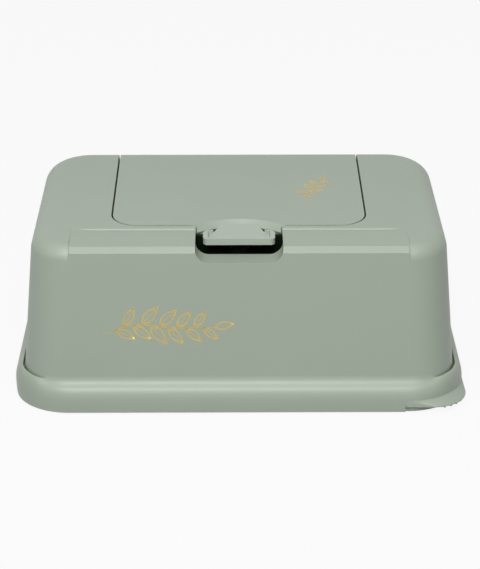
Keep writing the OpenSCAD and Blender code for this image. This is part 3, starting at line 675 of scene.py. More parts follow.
def soften(obj, width, limit=35, segments=3):
    """Joins flat faces that lie in one plane and rounds every edge sharper than limit."""
    same_place = 0.002
    same_plane = math.radians(0.2)
    shape = bmesh.new()
    shape.from_mesh(obj.data)
    bmesh.ops.remove_doubles(shape, verts=shape.verts, dist=same_place)
    bmesh.ops.dissolve_limit(shape, angle_limit=same_plane, verts=shape.verts, edges=shape.edges)
    shape.to_mesh(obj.data)
    shape.free()
    bevel = obj.modifiers.new("bevel", "BEVEL")
    bevel.width = width
    bevel.segments = segments
    bevel.limit_method = "ANGLE"
    bevel.angle_limit = math.radians(limit)
    bevel.use_clamp_overlap = True
    bevel.miter_outer = "MITER_ARC"
    return bake_modifiers(obj)


def round_node(name, node, width, body, finish, extra=()):
    """Replaces a CAD node by a copy with rounded edges, and with the extra pieces."""
    obj = bpy.data.objects.new(name, CAD_NODES[node].data.copy())
    bpy.context.scene.collection.objects.link(obj)
    obj.data.transform(Matrix.Scale(1 / MM, 4))
    soften(obj, width, segments=2)
    if extra:
        join([obj, *extra])
    finish_piece(obj, body, finish, node)


def grid_tree():
    """A node tree that sets copies of a piece on a grid, with a size for each direction."""
    tree = bpy.data.node_groups.new("piece_grid", "GeometryNodeTree")
    face = tree.interface
    face.new_socket("Geometry", in_out="INPUT", socket_type="NodeSocketGeometry")
    for title, kind in (
        ("Piece", "NodeSocketObject"),
        ("Columns", "NodeSocketInt"),
        ("Rows", "NodeSocketInt"),
        ("Width", "NodeSocketFloat"),
        ("Depth", "NodeSocketFloat"),
        ("Finish", "NodeSocketMaterial"),
    ):
        face.new_socket(title, in_out="INPUT", socket_type=kind)
    face.new_socket("Geometry", in_out="OUTPUT", socket_type="NodeSocketGeometry")
    add_node = tree.nodes.new
    join_up = tree.links.new
    given = add_node("NodeGroupInput").outputs
    grid = add_node("GeometryNodeMeshGrid")
    join_up(given["Width"], grid.inputs["Size X"])
    join_up(given["Depth"], grid.inputs["Size Y"])
    join_up(given["Columns"], grid.inputs["Vertices X"])
    join_up(given["Rows"], grid.inputs["Vertices Y"])
    source = add_node("GeometryNodeObjectInfo")
    join_up(given["Piece"], source.inputs["Object"])
    copies = add_node("GeometryNodeInstanceOnPoints")
    join_up(grid.outputs["Mesh"], copies.inputs["Points"])
    join_up(source.outputs["Geometry"], copies.inputs["Instance"])
    solid = add_node("GeometryNodeRealizeInstances")
    join_up(copies.outputs["Instances"], solid.inputs["Geometry"])
    painted = add_node("GeometryNodeSetMaterial")
    join_up(solid.outputs["Geometry"], painted.inputs["Geometry"])
    join_up(given["Finish"], painted.inputs["Material"])
    join_up(painted.outputs["Geometry"], add_node("NodeGroupOutput").inputs["Geometry"])
    return tree


def on_grid(name, piece, columns, rows, width, depth, finish, place=Matrix()):
    """Copies of a piece on a grid of this width and depth, made by the node tree."""
    tree = bpy.data.node_groups.get("piece_grid") or grid_tree()
    obj = bpy.data.objects.new(name, bpy.data.meshes.new(name))
    bpy.context.scene.collection.objects.link(obj)
    step = obj.modifiers.new("grid", "NODES")
    step.node_group = tree
    values = {
        "Piece": piece,
        "Columns": columns,
        "Rows": rows,
        "Width": width,
        "Depth": depth,
        "Finish": MATERIALS[finish],
    }
    for item in tree.interface.items_tree:
        if item.in_out == "INPUT" and item.name in values:
            step[item.identifier] = values[item.name]
    bake_modifiers(obj)
    bpy.data.objects.remove(piece)
    obj.data.transform(place)
    return obj


def finish_piece(obj, body, finish, *nodes, smooth=38):
    """Brings a piece to metres and gives it its finish, its body and the nodes it replaces.

    A print that replaces no node hides none. Edges sharper than smooth degrees stay sharp."""
    obj.data.transform(Matrix.Scale(MM, 4))
    obj.data.materials.clear()
    obj.data.materials.append(MATERIALS[finish])
    for face in obj.data.polygons:
        face.use_smooth = True
    obj.data.set_sharp_from_angle(angle=math.radians(smooth))
    weighted = obj.modifiers.new("normals", "WEIGHTED_NORMAL")
    weighted.keep_sharp = True
    bake_modifiers(obj)
    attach(obj, body)
    if nodes:
        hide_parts(*nodes)


# ---------------------------------------------------------------- materials


class Value:
    """A number inside a material, as the socket that gives it, with maths on it."""

    def __init__(self, tree, socket):
        self.tree = tree
        self.socket = socket

    def maths(self, operation, first, second):
        node = self.tree.nodes.new("ShaderNodeMath")
        node.operation = operation
        for place, item in enumerate((first, second)):
            if isinstance(item, Value):
                self.tree.links.new(item.socket, node.inputs[place])
            else:
                node.inputs[place].default_value = item
        return Value(self.tree, node.outputs[0])

    def __add__(self, other):
        return self.maths("ADD", self, other)

    def __radd__(self, other):
        return self.maths("ADD", other, self)

    def __mul__(self, other):
        return self.maths("MULTIPLY", self, other)

    def above(self, limit):
        """1 where the number is above the limit, 0 elsewhere."""
        return self.maths("GREATER_THAN", self, limit)


class Finish:
    """Builds one material's nodes."""

    def __init__(self, name):
        self.material = bpy.data.materials.new(name)
        self.material.use_nodes = True
        self.tree = self.material.node_tree
        self.shader = self.tree.nodes["Principled BSDF"]
        self.place = self.node("ShaderNodeTexCoord").outputs["Object"]

    def node(self, kind, settings=(), **sockets):
        """A node of this kind, with its settings first and then its sockets."""
        node = self.tree.nodes.new(kind)
        for key, item in dict(settings).items():
            setattr(node, key, item)
        for key, item in sockets.items():
            self.join(item, node.inputs[key.replace("_", " ")])
        return node

    def join(self, item, socket):
        """Links a value or a socket to a socket, or sets a constant there."""
        if isinstance(item, Value):
            item = item.socket
        if isinstance(item, bpy.types.NodeSocket):
            self.tree.links.new(item, socket)
        else:
            socket.default_value = item

    def set(self, **sockets):
        """Sets sockets of the surface shader, with _ for a space in a name."""
        for key, item in sockets.items():
            self.join(item, self.shader.inputs[key.replace("_", " ")])

    def noise(self, scale, detail=2.0):
        """A noise of this many waves a metre, from 0 to 1."""
        node = self.node("ShaderNodeTexNoise", Vector=self.place, Scale=scale, Detail=detail)
        return Value(self.tree, node.outputs["Fac"])

    def about(self, middle, spread, scale):
        """A number that wanders about a middle, by half of spread to each side."""
        return middle - spread / 2 + self.noise(scale, 3.0) * spread

    def tint(self, factor, rgb, dark, light):
        """A base colour that runs with the factor from a darker to a lighter shade of rgb."""
        share, first, second, result = 0, 6, 7, 2  # the mix node's sockets for colours
        node = self.node("ShaderNodeMix", {"data_type": "RGBA"})
        self.join(factor, node.inputs[share])
        self.join(shade(rgb, dark), node.inputs[first])
        self.join(shade(rgb, light), node.inputs[second])
        self.set(Base_Color=node.outputs[result])

    def bump(self, height, strength, depth):
        """Raises the surface by a height, at most depth metres."""
        node = self.node("ShaderNodeBump", Height=height, Strength=strength, Distance=depth)
        self.join(node.outputs["Normal"], self.shader.inputs["Normal"])


def shade(rgb, factor):
    """A colour times a factor, with an alpha of 1."""
    return (rgb[0] * factor, rgb[1] * factor, rgb[2] * factor, 1.0)


def moulded(name, rgb, rough, coat=0.0, grain=0.35, shine=0.5):
    """Satin moulded plastic: cloudy colour, fine mould grain and a soft sheen."""
    f = Finish(name)
    cloud = f.noise(14, 3.0)
    fine = f.noise(900)
    f.tint(cloud * 0.7 + fine * 0.3, rgb, dark=0.965, light=1.035)
    f.set(Roughness=f.about(rough, spread=0.1, scale=60))
    f.set(Coat_Weight=coat, Coat_Roughness=0.45, Specular_IOR_Level=shine)
    pores = f.noise(2600) * 0.7 + f.noise(9000, 1.0) * 0.3
    f.bump(pores, strength=grain, depth=0.00002)
    return f.material


def soft_rubber(name, rgb, rough):
    """Silicone or rubber: slightly cloudy, with a dull skin."""
    f = Finish(name)
    f.tint(f.noise(120, 3.0), rgb, dark=0.93, light=1.05)
    f.set(Roughness=f.about(rough, spread=0.12, scale=300))
    f.bump(f.noise(3000), strength=0.3, depth=0.00003)
    return f.material


def ground_steel(name, rgb, rough):
    """Steel with fine marks of its grinding."""
    f = Finish(name)
    marks = f.noise(5000)
    f.tint(marks, rgb, dark=0.86, light=1.05)
    f.set(Metallic=1.0, Roughness=rough + marks * 0.1)
    f.bump(marks, strength=0.2, depth=0.00001)
    return f.material


def foil_print(name, rgb):
    """Thin pressed foil: metal with a faintly uneven shine."""
    f = Finish(name)
    cloud = f.noise(160, 3.0)
    f.tint(cloud, rgb, dark=0.9, light=1.08)
    f.set(Metallic=0.55, Roughness=0.34 + cloud * 0.16)
    f.bump(f.noise(4000), strength=0.25, depth=0.00001)
    return f.material


MATERIALS = {}


def make_materials():
    """Makes every finish, in the colours of the panel."""
    colours = bpy.context.scene.dispenser_finish
    looks = {
        "sage_shell": (moulded, colours.sage, {"rough": 0.46, "coat": 0.16}),
        "sage_tab": (moulded, colours.tab, {"rough": 0.38, "coat": 0.2}),
        "sage_inner": (moulded, colours.inner, {"rough": 0.5}),
        # black_insert is painted shade: a black with little shine for the cup, brows, catch and
        # hook, where the scoop's recess lies in deep shadow
        "black_insert": (moulded, colours.ink, {"rough": 0.6, "grain": 0.5, "shine": 0.12}),
        "silicone": (soft_rubber, colours.silicone, {"rough": 0.5}),
        "foot_rubber": (soft_rubber, colours.rubber, {"rough": 0.7}),
        "pin_steel": (ground_steel, colours.steel, {"rough": 0.28}),
        "screw_steel": (ground_steel, colours.steel, {"rough": 0.2}),
        "gold_foil": (foil_print, colours.foil, {}),
    }
    for name, (make, rgb, look) in looks.items():
        MATERIALS[name] = make(name, rgb, **look)


def dress_nodes():
    """Gives each CAD node that still shows the finish of its slot."""
    slots = {row["node"]: row["material_slot"] for row in frame["record"]["subparts"]}
    for name, obj in CAD_NODES.items():
        if not obj.data.materials:
            obj.data.materials.append(None)
        for slot in obj.material_slots:
            slot.material = MATERIALS[slots[name]]


# ---------------------------------------------------------------- housing


def wall_line(sx, sy, turn, inset):
    """Where the wall that faces turn leaves the counter and where its shoulder starts.

    Returns the point at the counter, a function for points on the shoulder, and the
    shoulder's first angle, where the straight wall touches it."""
    core, edge, rise, middle = corner_ring(sx, sy)
    foot_x = sx * (side_x(0) - S.body_r)
    foot_y = front_y(0) + S.body_r if sy < 0 else rear_y(0) - S.body_r
    nx, ny = math.cos(turn), math.sin(turn)
    r = edge - inset
    reach = S.body_r - inset
    place = lid_place()
    lean = place.to_3x3()
    low = Vector((foot_x + reach * nx, foot_y + reach * ny, 0))

    def shoulder(a):
        out = core + r * math.cos(a)
        point = (middle[0] + out * nx, middle[1] + out * ny, rise + r * math.sin(a))
        return place @ Vector(point)

    def off_tangent(a):
        normal = lean @ Vector((math.cos(a) * nx, math.cos(a) * ny, math.sin(a)))
        return normal.dot(shoulder(a) - low)

    start, end = math.radians(-20), math.radians(40)
    for _ in range(HALVINGS):
        half = (start + end) / 2
        if off_tangent(half) > 0:
            end = half
        else:
            start = half
    return low, shoulder, (start + end) / 2


def wall_points(sx, sy, turn, inset, foot_z):
    """One upright row of ROW_POINTS: foot of the wall, then the shoulder up to the top."""
    low, shoulder, start = wall_line(sx, sy, turn, inset)
    first = shoulder(start)
    points = [low.lerp(first, foot_z / first.z)]
    last = ROW_POINTS - 2
    for i in range(last + 1):
        points.append(shoulder(start + (math.pi / 2 - start) * i / last))
    return points


def band_points(x, foot_z, fade, gathered=False):
    """One upright row of ROW_POINTS across the bevelled front edge, the strip and its step.

    fade is 1 where the step is whole and 0 where it has died away. There the points can be
    gathered close behind the bevel, as the rounded corner has them."""
    edge_soft = 0.9
    step_half = 0.35 * fade + 0.02
    inner_run = 2.2
    place = lid_place()
    low_z = band_z() - S.band_rise
    rear = -open_front() - S.strip_gap
    base = place @ Vector((0, rear - step_half, S.edge_r - S.strip_step * fade))
    top = place @ Vector((0, rear + step_half, S.edge_r))
    inner = place @ Vector((0, rear + inner_run, S.edge_r))
    foot = (front_y(foot_z), foot_z)
    edge = (front_y(low_z), low_z)
    brow = (band_y(), band_z())
    step = (base.y, base.z)
    crest = (top.y, top.z)
    row = [foot]
    row += round_corner(foot, edge, brow, edge_soft, 4)
    row += round_corner(edge, brow, step, edge_soft, 4)
    if gathered:
        for k in range(1, 8):
            back = k * S.front_edge_r / 8
            share = back / (crest[0] - brow[0])
            row.append((brow[0] + back, brow[1] + share * (crest[1] - brow[1])))
    else:
        row += round_corner(brow, step, crest, 0.35 * fade, 3)
        row += round_corner(step, crest, (inner.y, inner.z), 0.6 * fade, 4)
    row.append((inner.y, inner.z))
    return [Vector((x, y, z)) for y, z in row]


def body_rows(inset, foot_z, bevelled):
    """All the upright rows round the housing, anticlockwise from the front's middle."""
    rows = [wall_points(sx, sy, turn, inset, foot_z) for sx, sy, turn in corner_turns()]
    if bevelled:
        steps = 8
        ends = []
        for i in range(1, steps + 1):
            w = i / steps
            ends.append((S.band_half - S.strip_taper * w, smooth_step(w, 0, 1)))
        rows.append(band_points(-S.band_half, foot_z, 0, gathered=True))
        rows += [band_points(-x, foot_z, fade) for x, fade in ends]
        rows += [band_points(x, foot_z, fade) for x, fade in reversed(ends)]
        rows.append(band_points(S.band_half, foot_z, 0, gathered=True))
    return rows


def body_solid(name, inset, foot_z, bevelled=False):
    """The housing's form as a closed solid, drawn in by inset."""
    rows = body_rows(inset, foot_z, bevelled)
    rings = [[row[k] for row in rows] for k in range(len(rows[0]))]
    return weld(loft(name, rings))


def scoop_bar(name, extra, low_y, high_y):
    """The scoop's outline in the front wall, grown by extra, drawn front to back."""
    half = S.scoop_w / 2 + extra
    r = S.scoop_r + extra
    floor = ledge_z() - extra
    outline = [(half, S.height + PAST), (-half, S.height + PAST)]
    outline += arc(r - half, floor + r, r, 180, 270, CORNER_STEPS)
    outline += arc(half - r, floor + r, r, 270, 360, CORNER_STEPS)
    rings = [[Vector((x, y, z)) for x, z in outline] for y in (low_y, high_y)]
    return loft(name, rings)


def lid_opening(name):
    """What the lid and its rolled edge take out of the housing."""
    place = lid_place()
    above = S.edge_r + PAST
    below = 2.5
    outline = front_rounded(open_half(), open_front(), 0.5, S.lid_r + S.lid_gap)
    top = prism(name, outline, S.edge_r - S.wall - below, above, place)
    reach = S.edge_r + S.roll_gap
    low = -S.edge_r / 2
    behind = 2 * PAST
    profile = [(-1, above), (-1, -reach * 0.8)]
    profile += arc(0, 0, reach, -53, math.degrees(math.asin(low / reach)), 8)
    profile += [(behind, low), (behind, above)]
    rear = bar(name + "_rear", profile, -open_half(), open_half(), place)
    return top, rear


def deck_bosses():
    """The columns under the top that the deck's screws run into."""
    boss_r = 3.4
    ear_t = 2.1
    x, *rows = deck_screw_spots()
    low = ear_z() + ear_t
    bosses = []
    for y in rows:
        for side in (-1, 1):
            outline = circle(side * x, y, boss_r, 36)
            bosses.append(prism("boss", outline, low, S.edge_r, lid_place()))
    return bosses


def build_housing():
    shell = body_solid("housing_shell", 0, S.foot_z, bevelled=True)
    hollow = body_solid("housing_hollow", S.wall, S.foot_z - 3)
    cut(hollow, scoop_bar("scoop_lining", S.cup_wall, -S.skirt_d, ledge_y()), *deck_bosses())
    cut(shell, hollow)
    cut(shell, scoop_bar("scoop_cut", 0, -S.skirt_d, hinge_y() - open_front()))
    cut(shell, *lid_opening("lid_cut"))
    soften(shell, 0.55, limit=40, segments=3)
    finish_piece(shell, "cover", "sage_shell", "housing")


# ---------------------------------------------------------------- skirt


def skirt_foot():
    """The skirt's section below its curve, as (inset, height) points."""
    low = S.skirt_z0
    lean = S.skirt_lean
    return [
        (lean + 0.6, low),
        (lean + 0.2, low + 0.12),
        (lean, low + 0.5),
        (lean * 0.45, S.lip_z),
        (lean * 0.2, S.notch_h + 0.6),
    ]


def grooved_top():
    """The skirt's curve up to its crest and down into the groove beside the housing."""
    crest = S.skirt_out - S.groove_w
    rise = S.skirt_h - S.skirt_face_h
    floor = S.skirt_h - S.groove_h
    points = []
    for i in range(13):
        a = math.pi / 2 * i / 12
        points.append((crest * (1 - math.cos(a)), S.skirt_face_h + rise * math.sin(a)))
    points += [(crest + 0.2, S.skirt_h - 0.1), (crest + 0.35, S.skirt_h - 0.5)]
    points += [(crest + 0.6, floor + 0.6), (crest + 0.8, floor), (S.skirt_out - 0.1, floor)]
    return points


def filleted_top():
    """The skirt's curve up to the front, where it runs into the wall in one sweep.

    An elliptic arc is followed by a Bezier curve, with as many points as grooved_top."""
    deep = 5.0
    rise = 8.3
    last = math.radians(70)
    first_pull = 1.9
    second_pull = Vector((0.1, 2.6))
    points = []
    for i in range(9):
        a = last * i / 8
        points.append((deep * (1 - math.cos(a)), S.skirt_face_h + rise * math.sin(a)))
    start = Vector(points[-1])
    end = Vector((S.skirt_out, S.fillet_h))
    along = Vector((deep * math.sin(last), rise * math.cos(last))).normalized()
    first = start + along * first_pull
    second = end - second_pull
    for i in range(1, 10):
        w = i / 9
        v = 1 - w
        middle = 3 * v * v * w * first + 3 * v * w * w * second
        points.append(tuple(v**3 * start + middle + w**3 * end))
    return points


def skirt_row(sx, sy, turn):
    """One row of points round the skirt's section, where it faces turn.

    Along the front it sinks into the wall, and elsewhere it keeps clear of it."""
    sink, clear = 0.05, 0.15
    soft_from, soft_to = 20, 44
    lap = 0.9
    x = sx * (S.skirt_w / 2 - S.skirt_r) + S.skirt_r * math.cos(turn)
    y = sy * (S.skirt_d / 2 - S.skirt_r) + S.skirt_r * math.sin(turn)
    off_front = math.degrees(turn) + 90 if sx > 0 else 270 - math.degrees(turn)
    soft = 1 - smooth_step(off_front, soft_from, soft_to)
    low, shoulder, start = wall_line(sx, sy, turn, sink * soft - clear * (1 - soft))
    first = shoulder(start)

    def section(inset, z):
        wall = low.lerp(first, z / first.z)
        return Vector((x, y, z)).lerp(wall, inset / S.skirt_out)

    points = skirt_foot()
    for a, b in zip(grooved_top(), filleted_top()):
        points.append((a[0] + (b[0] - a[0]) * soft, a[1] + (b[1] - a[1]) * soft))
    tray_top = S.tray_h - lap
    points.append((S.skirt_out, points[-1][1] - 0.15))
    points += [(S.skirt_out, tray_top), (S.skirt_wall, tray_top), (S.skirt_wall, S.skirt_z0)]
    return [section(*point) for point in points]


def grip_ribs():
    """The small ribs under the lift lip."""
    count = 5
    first, sweep = -70, 50
    inner, outer = S.lip_r - 3.5, S.lip_r - 0.5
    low_z, high_z = S.lip_z - 0.9, S.lip_z + 0.3
    ribs = []
    for i in range(count):
        turn = math.radians(first + sweep * i / (count - 1))
        place = Matrix.Translation((*lip_middle(), 0)) @ Matrix.Rotation(turn, 4, "Z")
        low = (inner, -S.rib_w / 2, low_z)
        high = (outer, S.rib_w / 2, high_z)
        ribs.append(soften(box("grip_rib", low, high, place), 0.25, segments=2))
    return ribs


def lip_ring(skin, edge, inward):
    """The lift lip's section between a place on the skirt's face and one on its edge."""
    root, proud, flare = 2.2, 0.02, 1.5
    high = S.skirt_face_h - 0.2
    sunk = skin + inward * root
    steps = 6
    ring = [sunk + Vector((0, 0, high)), skin - inward * proud + Vector((0, 0, high))]
    for i in range(1, steps + 1):
        w = i / steps
        height = high + (S.lip_z + 0.7 - high) * w
        ring.append(skin.lerp(edge, w**flare) + Vector((0, 0, height)))
    ring.append(edge + Vector((0, 0, S.lip_z + 0.15)))
    ring.append(edge + inward * 0.3 + Vector((0, 0, S.lip_z)))
    ring.append(sunk + Vector((0, 0, S.notch_h - 0.4)))
    return ring


def lift_lip():
    """The flared lip over the notched corner, from the skirt's face out to its edge."""
    thin = 0.05
    steps = 24
    core = Vector((S.skirt_w / 2 - S.skirt_r, S.skirt_r - S.skirt_d / 2, 0))
    middle = Vector((*lip_middle(), 0))
    x, y = S.notch_x + 0.3, -S.skirt_d / 2
    rings = [lip_ring(Vector((x, y, 0)), Vector((x, y - thin, 0)), Vector((0, 1, 0)))]
    for i in range(steps + 1):
        turn = math.radians(-90 + 90 * (i / steps))
        normal = Vector((math.cos(turn), math.sin(turn), 0))
        rings.append(lip_ring(core + normal * S.skirt_r, middle + normal * S.lip_r, -normal))
    x, y = S.skirt_w / 2, -S.notch_y
    rings.append(lip_ring(Vector((x, y, 0)), Vector((x + thin, y, 0)), Vector((-1, 0, 0))))
    return weld(loft("lift_lip", rings))


def build_skirt():
    rows = [skirt_row(*corner) for corner in corner_turns()]
    skirt = weld(loft("skirt_ring", rows, ends=False, closed=True))
    low = (S.notch_x, -S.skirt_d / 2 - PAST, -PAST)
    cut(skirt, box("notch_cut", low, (S.skirt_w, -S.notch_y, S.notch_h)))
    add(skirt, lift_lip())
    soften(skirt, 0.22, limit=50, segments=2)
    join([skirt, *grip_ribs()])
    finish_piece(skirt, "cover", "sage_shell", "base_skirt")


# ---------------------------------------------------------------- lid


def lid_section():
    """The lid's section in the leaning frame: the plate and the edge rolled over the hinge."""
    under = S.edge_r - S.lid_t
    front = -lid_len() - 5
    end = -math.degrees(S.roll_angle)
    outline = [(front, under)]
    outline += arc(0, 0, under, 90, end, 20)
    outline += arc(0, 0, S.edge_r, end, 90, 28)
    outline += [(front, S.edge_r)]
    return outline


def lid_hubs():
    """The two hinge hubs with their webs."""
    place = lid_place()
    half = S.lid_w / 2
    side_gap = 0.3
    web_inset = 0.5
    past = 3
    hub_l = half - S.hub_x - side_gap
    web_low = (S.pin_r + S.hub_r) / 2
    web_high = S.edge_r - S.lid_t + S.lid_t / 2
    hubs = []
    for x in (S.hub_x, side_gap - half):
        hub = rod("hub", S.hub_r, x, x + hub_l, 0, 0, place, steps=48)
        for turn in (0, -60):
            swing = place @ Matrix.Rotation(math.radians(turn), 4, "X")
            low = (x + web_inset, -S.web_t / 2, web_low)
            high = (x + hub_l - web_inset, S.web_t / 2, web_high)
            add(hub, box("web", low, high, swing))
        bore_r = S.pin_r + S.pin_run
        cut(hub, rod("bore", bore_r, x - past, x + hub_l + past, 0, 0, place, steps=64))
        hubs.append(soften(hub, 0.3, segments=2))
    return hubs


def liner_bosses():
    """The bosses that stand between the lid and its liner."""
    w, d, middle = liner_size()
    inset = S.boss_r + BOSS_EDGE
    x = w / 2 - inset
    bosses = []
    for side in (-x, x):
        for y in (middle - d / 2 + inset, middle + d / 2 - inset):
            outline = circle(side, y, S.boss_r, 24)
            high = S.edge_r - S.lid_t + 0.5
            bosses.append(prism("boss", outline, liner_top(), high, lid_place()))
    return bosses


def latch_lugs(arch_rear):
    """The two lugs that hold the latch pin, each with an arm and a knee to the lid."""
    place = lid_place()
    py, pz = pivot()
    pin_run = 0.02
    arm_t = S.lug_r - 0.4
    under = S.edge_r - S.lid_t
    lugs = []
    for x in (-S.lug_x - S.lug_t, S.lug_x):
        side = x + S.lug_t
        lug = rod("lug", S.lug_r, x, side, py, pz, place, steps=48)
        arm = box("arm", (x, py, pz - arm_t), (side, arch_rear + 2, pz + arm_t - 1), place)
        knee = box("knee", (x, arch_rear, pz - arm_t), (side, arch_rear + 4, under + 0.5), place)
        add(lug, arm, knee)
        bore = rod("bore", S.latch_pin_r + pin_run, x - 3, x + 5, py, pz, place)
        lugs.append(soften(cut(lug, bore), 0.2, segments=2))
    return lugs


def build_lid():
    place = lid_place()
    half = S.lid_w / 2
    under = S.edge_r - S.lid_t
    rim_z = S.edge_r - S.rim_drop
    front = lid_len()
    lid = bar("lid_panel", lid_section(), -half, half, place)
    plan = front_rounded(half, front, S.edge_r + 6, S.lid_r)
    keep_inside(lid, prism("lid_plan", plan, -PAST, PAST, place))
    border = front_rounded(half, front, -S.edge_r, S.lid_r)
    rim = prism("lid_rim", border, rim_z, under + 0.6, place)
    hole = front_rounded(half - S.rim_t, front - S.rim_t, 5, S.lid_r - S.rim_t)
    cut(rim, prism("rim_hole", hole, rim_z - 3, under + 3, place))
    horn_x = S.scoop_w / 2 - 0.7
    low = (-horn_x, -front - S.horn_run, S.edge_r - S.arch_drop - 0.6)
    high = (horn_x, -front + S.arch_depth, S.edge_r - 0.02)
    add(lid, rim, box("lid_horn", low, high, place))
    arch_y = -(front - S.arch_depth + S.arch_r)
    arch_in = S.arch_r - S.arch_drop
    slope = [
        (0, -S.edge_r),
        (arch_in, -S.edge_r),
        (arch_in, S.edge_r - S.arch_drop),
        (S.arch_r + 1, S.edge_r + 1),
        (0, S.edge_r + 1),
    ]
    cut(lid, turned("arch_cut", slope, (0, arch_y), place, steps=160))
    soften(lid, 0.75, limit=40, segments=4)
    join([lid, *lid_hubs(), *liner_bosses(), *latch_lugs(arch_y + arch_in)])
    finish_piece(lid, "lid", "sage_shell", "lid")


# ---------------------------------------------------------------- latch


def build_tab():
    place = lid_place()
    top = S.edge_r - S.tab_drop
    floor = top - S.panel_drop
    above = top + 5
    rear = lid_len() + S.brim_gap
    front = rear + S.brim_d
    half = S.tab_w / 2
    foot = S.crown_w / 2
    crown = S.crown_top_w / 2
    crown_rear = rear - S.crown_d
    corners = [(-half, -front), (half, -front), (half, -rear), (foot, -rear)]
    corners += [(crown, -crown_rear), (-crown, -crown_rear), (-foot, -rear), (-half, -rear)]
    radii = [S.brim_r, S.brim_r, S.brim_rear_r, S.crown_foot_r, S.crown_top_r, S.crown_top_r]
    radii += [S.crown_foot_r, S.brim_rear_r]
    tab = prism("thumb_tab", rounded_polygon(corners, radii), top - S.crown_t, top, place)
    ramp_foot = -rear - 1.5
    ramp_top = -crown_rear + 0.1
    ramp = [(ramp_foot, floor), (ramp_top, top - 0.1), (ramp_top, above), (ramp_foot, above)]
    cut(tab, bar("tab_ramp", ramp, -foot - 0.5, foot + 0.5, place))
    corners = [(-half, -front), (half, -front), (half, -rear), (-half, -rear)]
    radii = [S.brim_r, S.brim_r, S.brim_rear_r, S.brim_rear_r]
    brim = rounded_polygon(corners, radii)
    add(tab, prism("tab_brim", brim, top - S.brim_t, floor - 0.3, place))
    soften(tab, 0.6, limit=40, segments=4)
    lead, panel_d, panel_r = 2, S.brim_d - 3.3, 1.2
    shift = place @ Matrix.Translation((0, -front + lead, 0))
    rings = []
    for z, out in ((floor, 0), (top, S.panel_slope), (above, S.panel_slope)):
        panel = front_rounded(half - S.panel_edge + out, out / 2, panel_d, panel_r, steps=6)
        rings.append([shift @ Vector((x, y, z)) for x, y in panel])
    cut(tab, loft("tab_panel", rings))
    soften(tab, 0.2, limit=40, segments=2)
    finish_piece(tab, "latch", "sage_tab", "latch_tab")


def build_hook():
    # The hook takes the black of painted shade that fills the finger scoop
    round_node("latch_grip", "latch_hook", 0.25, "latch", "black_insert")


def build_latch_pin():
    py, pz = pivot()
    reach = S.lug_x + S.lug_t
    pin = rod("latch_axle", S.latch_pin_r, -reach, reach, py, pz, lid_place())
    soften(pin, 0.2, segments=2)
    finish_piece(pin, "lid", "pin_steel", "latch_pin")


def wire(name, points, r):
    """A round wire through the points, with closed ends."""
    data = bpy.data.curves.new(name, "CURVE")
    data.dimensions = "3D"
    data.bevel_depth = r
    data.bevel_resolution = 3
    data.use_fill_caps = True
    line = data.splines.new("POLY")
    line.points.add(len(points) - 1)
    for knot, point in zip(line.points, points):
        knot.co = (*point, 1)
    guide = bpy.data.objects.new(name + "_guide", data)
    bpy.context.scene.collection.objects.link(guide)
    bpy.context.view_layer.update()
    graph = bpy.context.evaluated_depsgraph_get()
    mesh = bpy.data.meshes.new_from_object(guide.evaluated_get(graph))
    bpy.data.objects.remove(guide)
    obj = bpy.data.objects.new(name, mesh)
    bpy.context.scene.collection.objects.link(obj)
    return weld(obj)


def build_spring():
    py, pz = pivot()
    coil_r = S.latch_pin_r + 0.25 + S.wire_r
    pitch = 3.4 * S.wire_r
    steps = 24
    count = 104  # a little over four coils
    start = math.pi / 2
    end = start + 2 * math.pi * count / steps
    lead_y = coil_r * math.cos(start) + S.spring_leg * math.sin(start)
    path = [(0, lead_y, coil_r)]
    for i in range(count + 1):
        a = start + 2 * math.pi * i / steps
        path.append((pitch * i / steps, coil_r * math.cos(a), coil_r * math.sin(a)))
    tail_y = coil_r * math.cos(end) - S.spring_leg * math.sin(end)
    tail_z = coil_r * math.sin(end) + S.spring_leg * math.cos(end)
    path.append((pitch * count / steps, tail_y, tail_z))
    place = lid_place()
    points = [place @ Vector((S.spring_x + x, py + y, pz + z)) for x, y, z in path]
    spring = wire("latch_coil", points, S.wire_r)
    finish_piece(spring, "lid", "pin_steel", "latch_spring", smooth=60)


# ---------------------------------------------------------------- tray


def build_tray():
    round_node("tray_base", "base_tray", 0.35, "tray", "sage_shell")
    outer = plan_outline(S.tray_gap + 0.5, S.tray_h)
    inner = plan_outline(S.wall + S.upstand_gap - 0.1, S.upstand_h)
    low, high = S.tray_h, S.tray_h + S.seal_t
    profile = [(0, low), (0, low + 0.55), (0.06, high - 0.15), (0.2, high)]
    profile += [(0.45, high - 0.12), (0.55, high - 0.12), (0.8, high), (0.94, high - 0.15)]
    profile += [(1, low + 0.55), (1, low)]
    gasket = ring_of("tray_gasket", outer, inner, profile)
    finish_piece(gasket, "tray", "silicone", "tray_seal", smooth=50)


def build_feet():
    r = S.foot_r
    profile = [(0, 0.3), (r - 3.2, 0.3), (r - 2.8, 0), (r - 0.7, 0), (r - 0.2, 0.2)]
    profile += [(r, 0.6), (r, S.foot_h), (0, S.foot_h)]
    foot = turned("foot", profile, (0, 0), steps=40)
    feet = on_grid("counter_feet", foot, 2, 2, 2 * S.foot_x, 2 * S.foot_y, "foot_rubber")
    finish_piece(feet, "tray", "foot_rubber", "tray_feet")


# ---------------------------------------------------------------- deck and liner


def cup_brows():
    """The cup's two brows in painted-shade black, which close the scoop's upper corners beside the
    tab.
    """
    place = lid_place()
    inner_x = S.crown_w / 2 - 0.5
    outer_x = S.scoop_w / 2 - 0.1
    front = -lid_len() - S.horn_run - 0.35
    rear = front + S.cup_wall - 0.1
    low_z = S.edge_r - S.rim_drop - 1.7
    high_z = S.edge_r - S.arch_drop - 0.95
    brows = []
    for x in (-outer_x, inner_x):
        high = (x + outer_x - inner_x, rear, high_z)
        brow = box("cup_brow", (x, front, low_z), high, place)
        brows.append(soften(brow, 0.2, segments=2))
    return brows


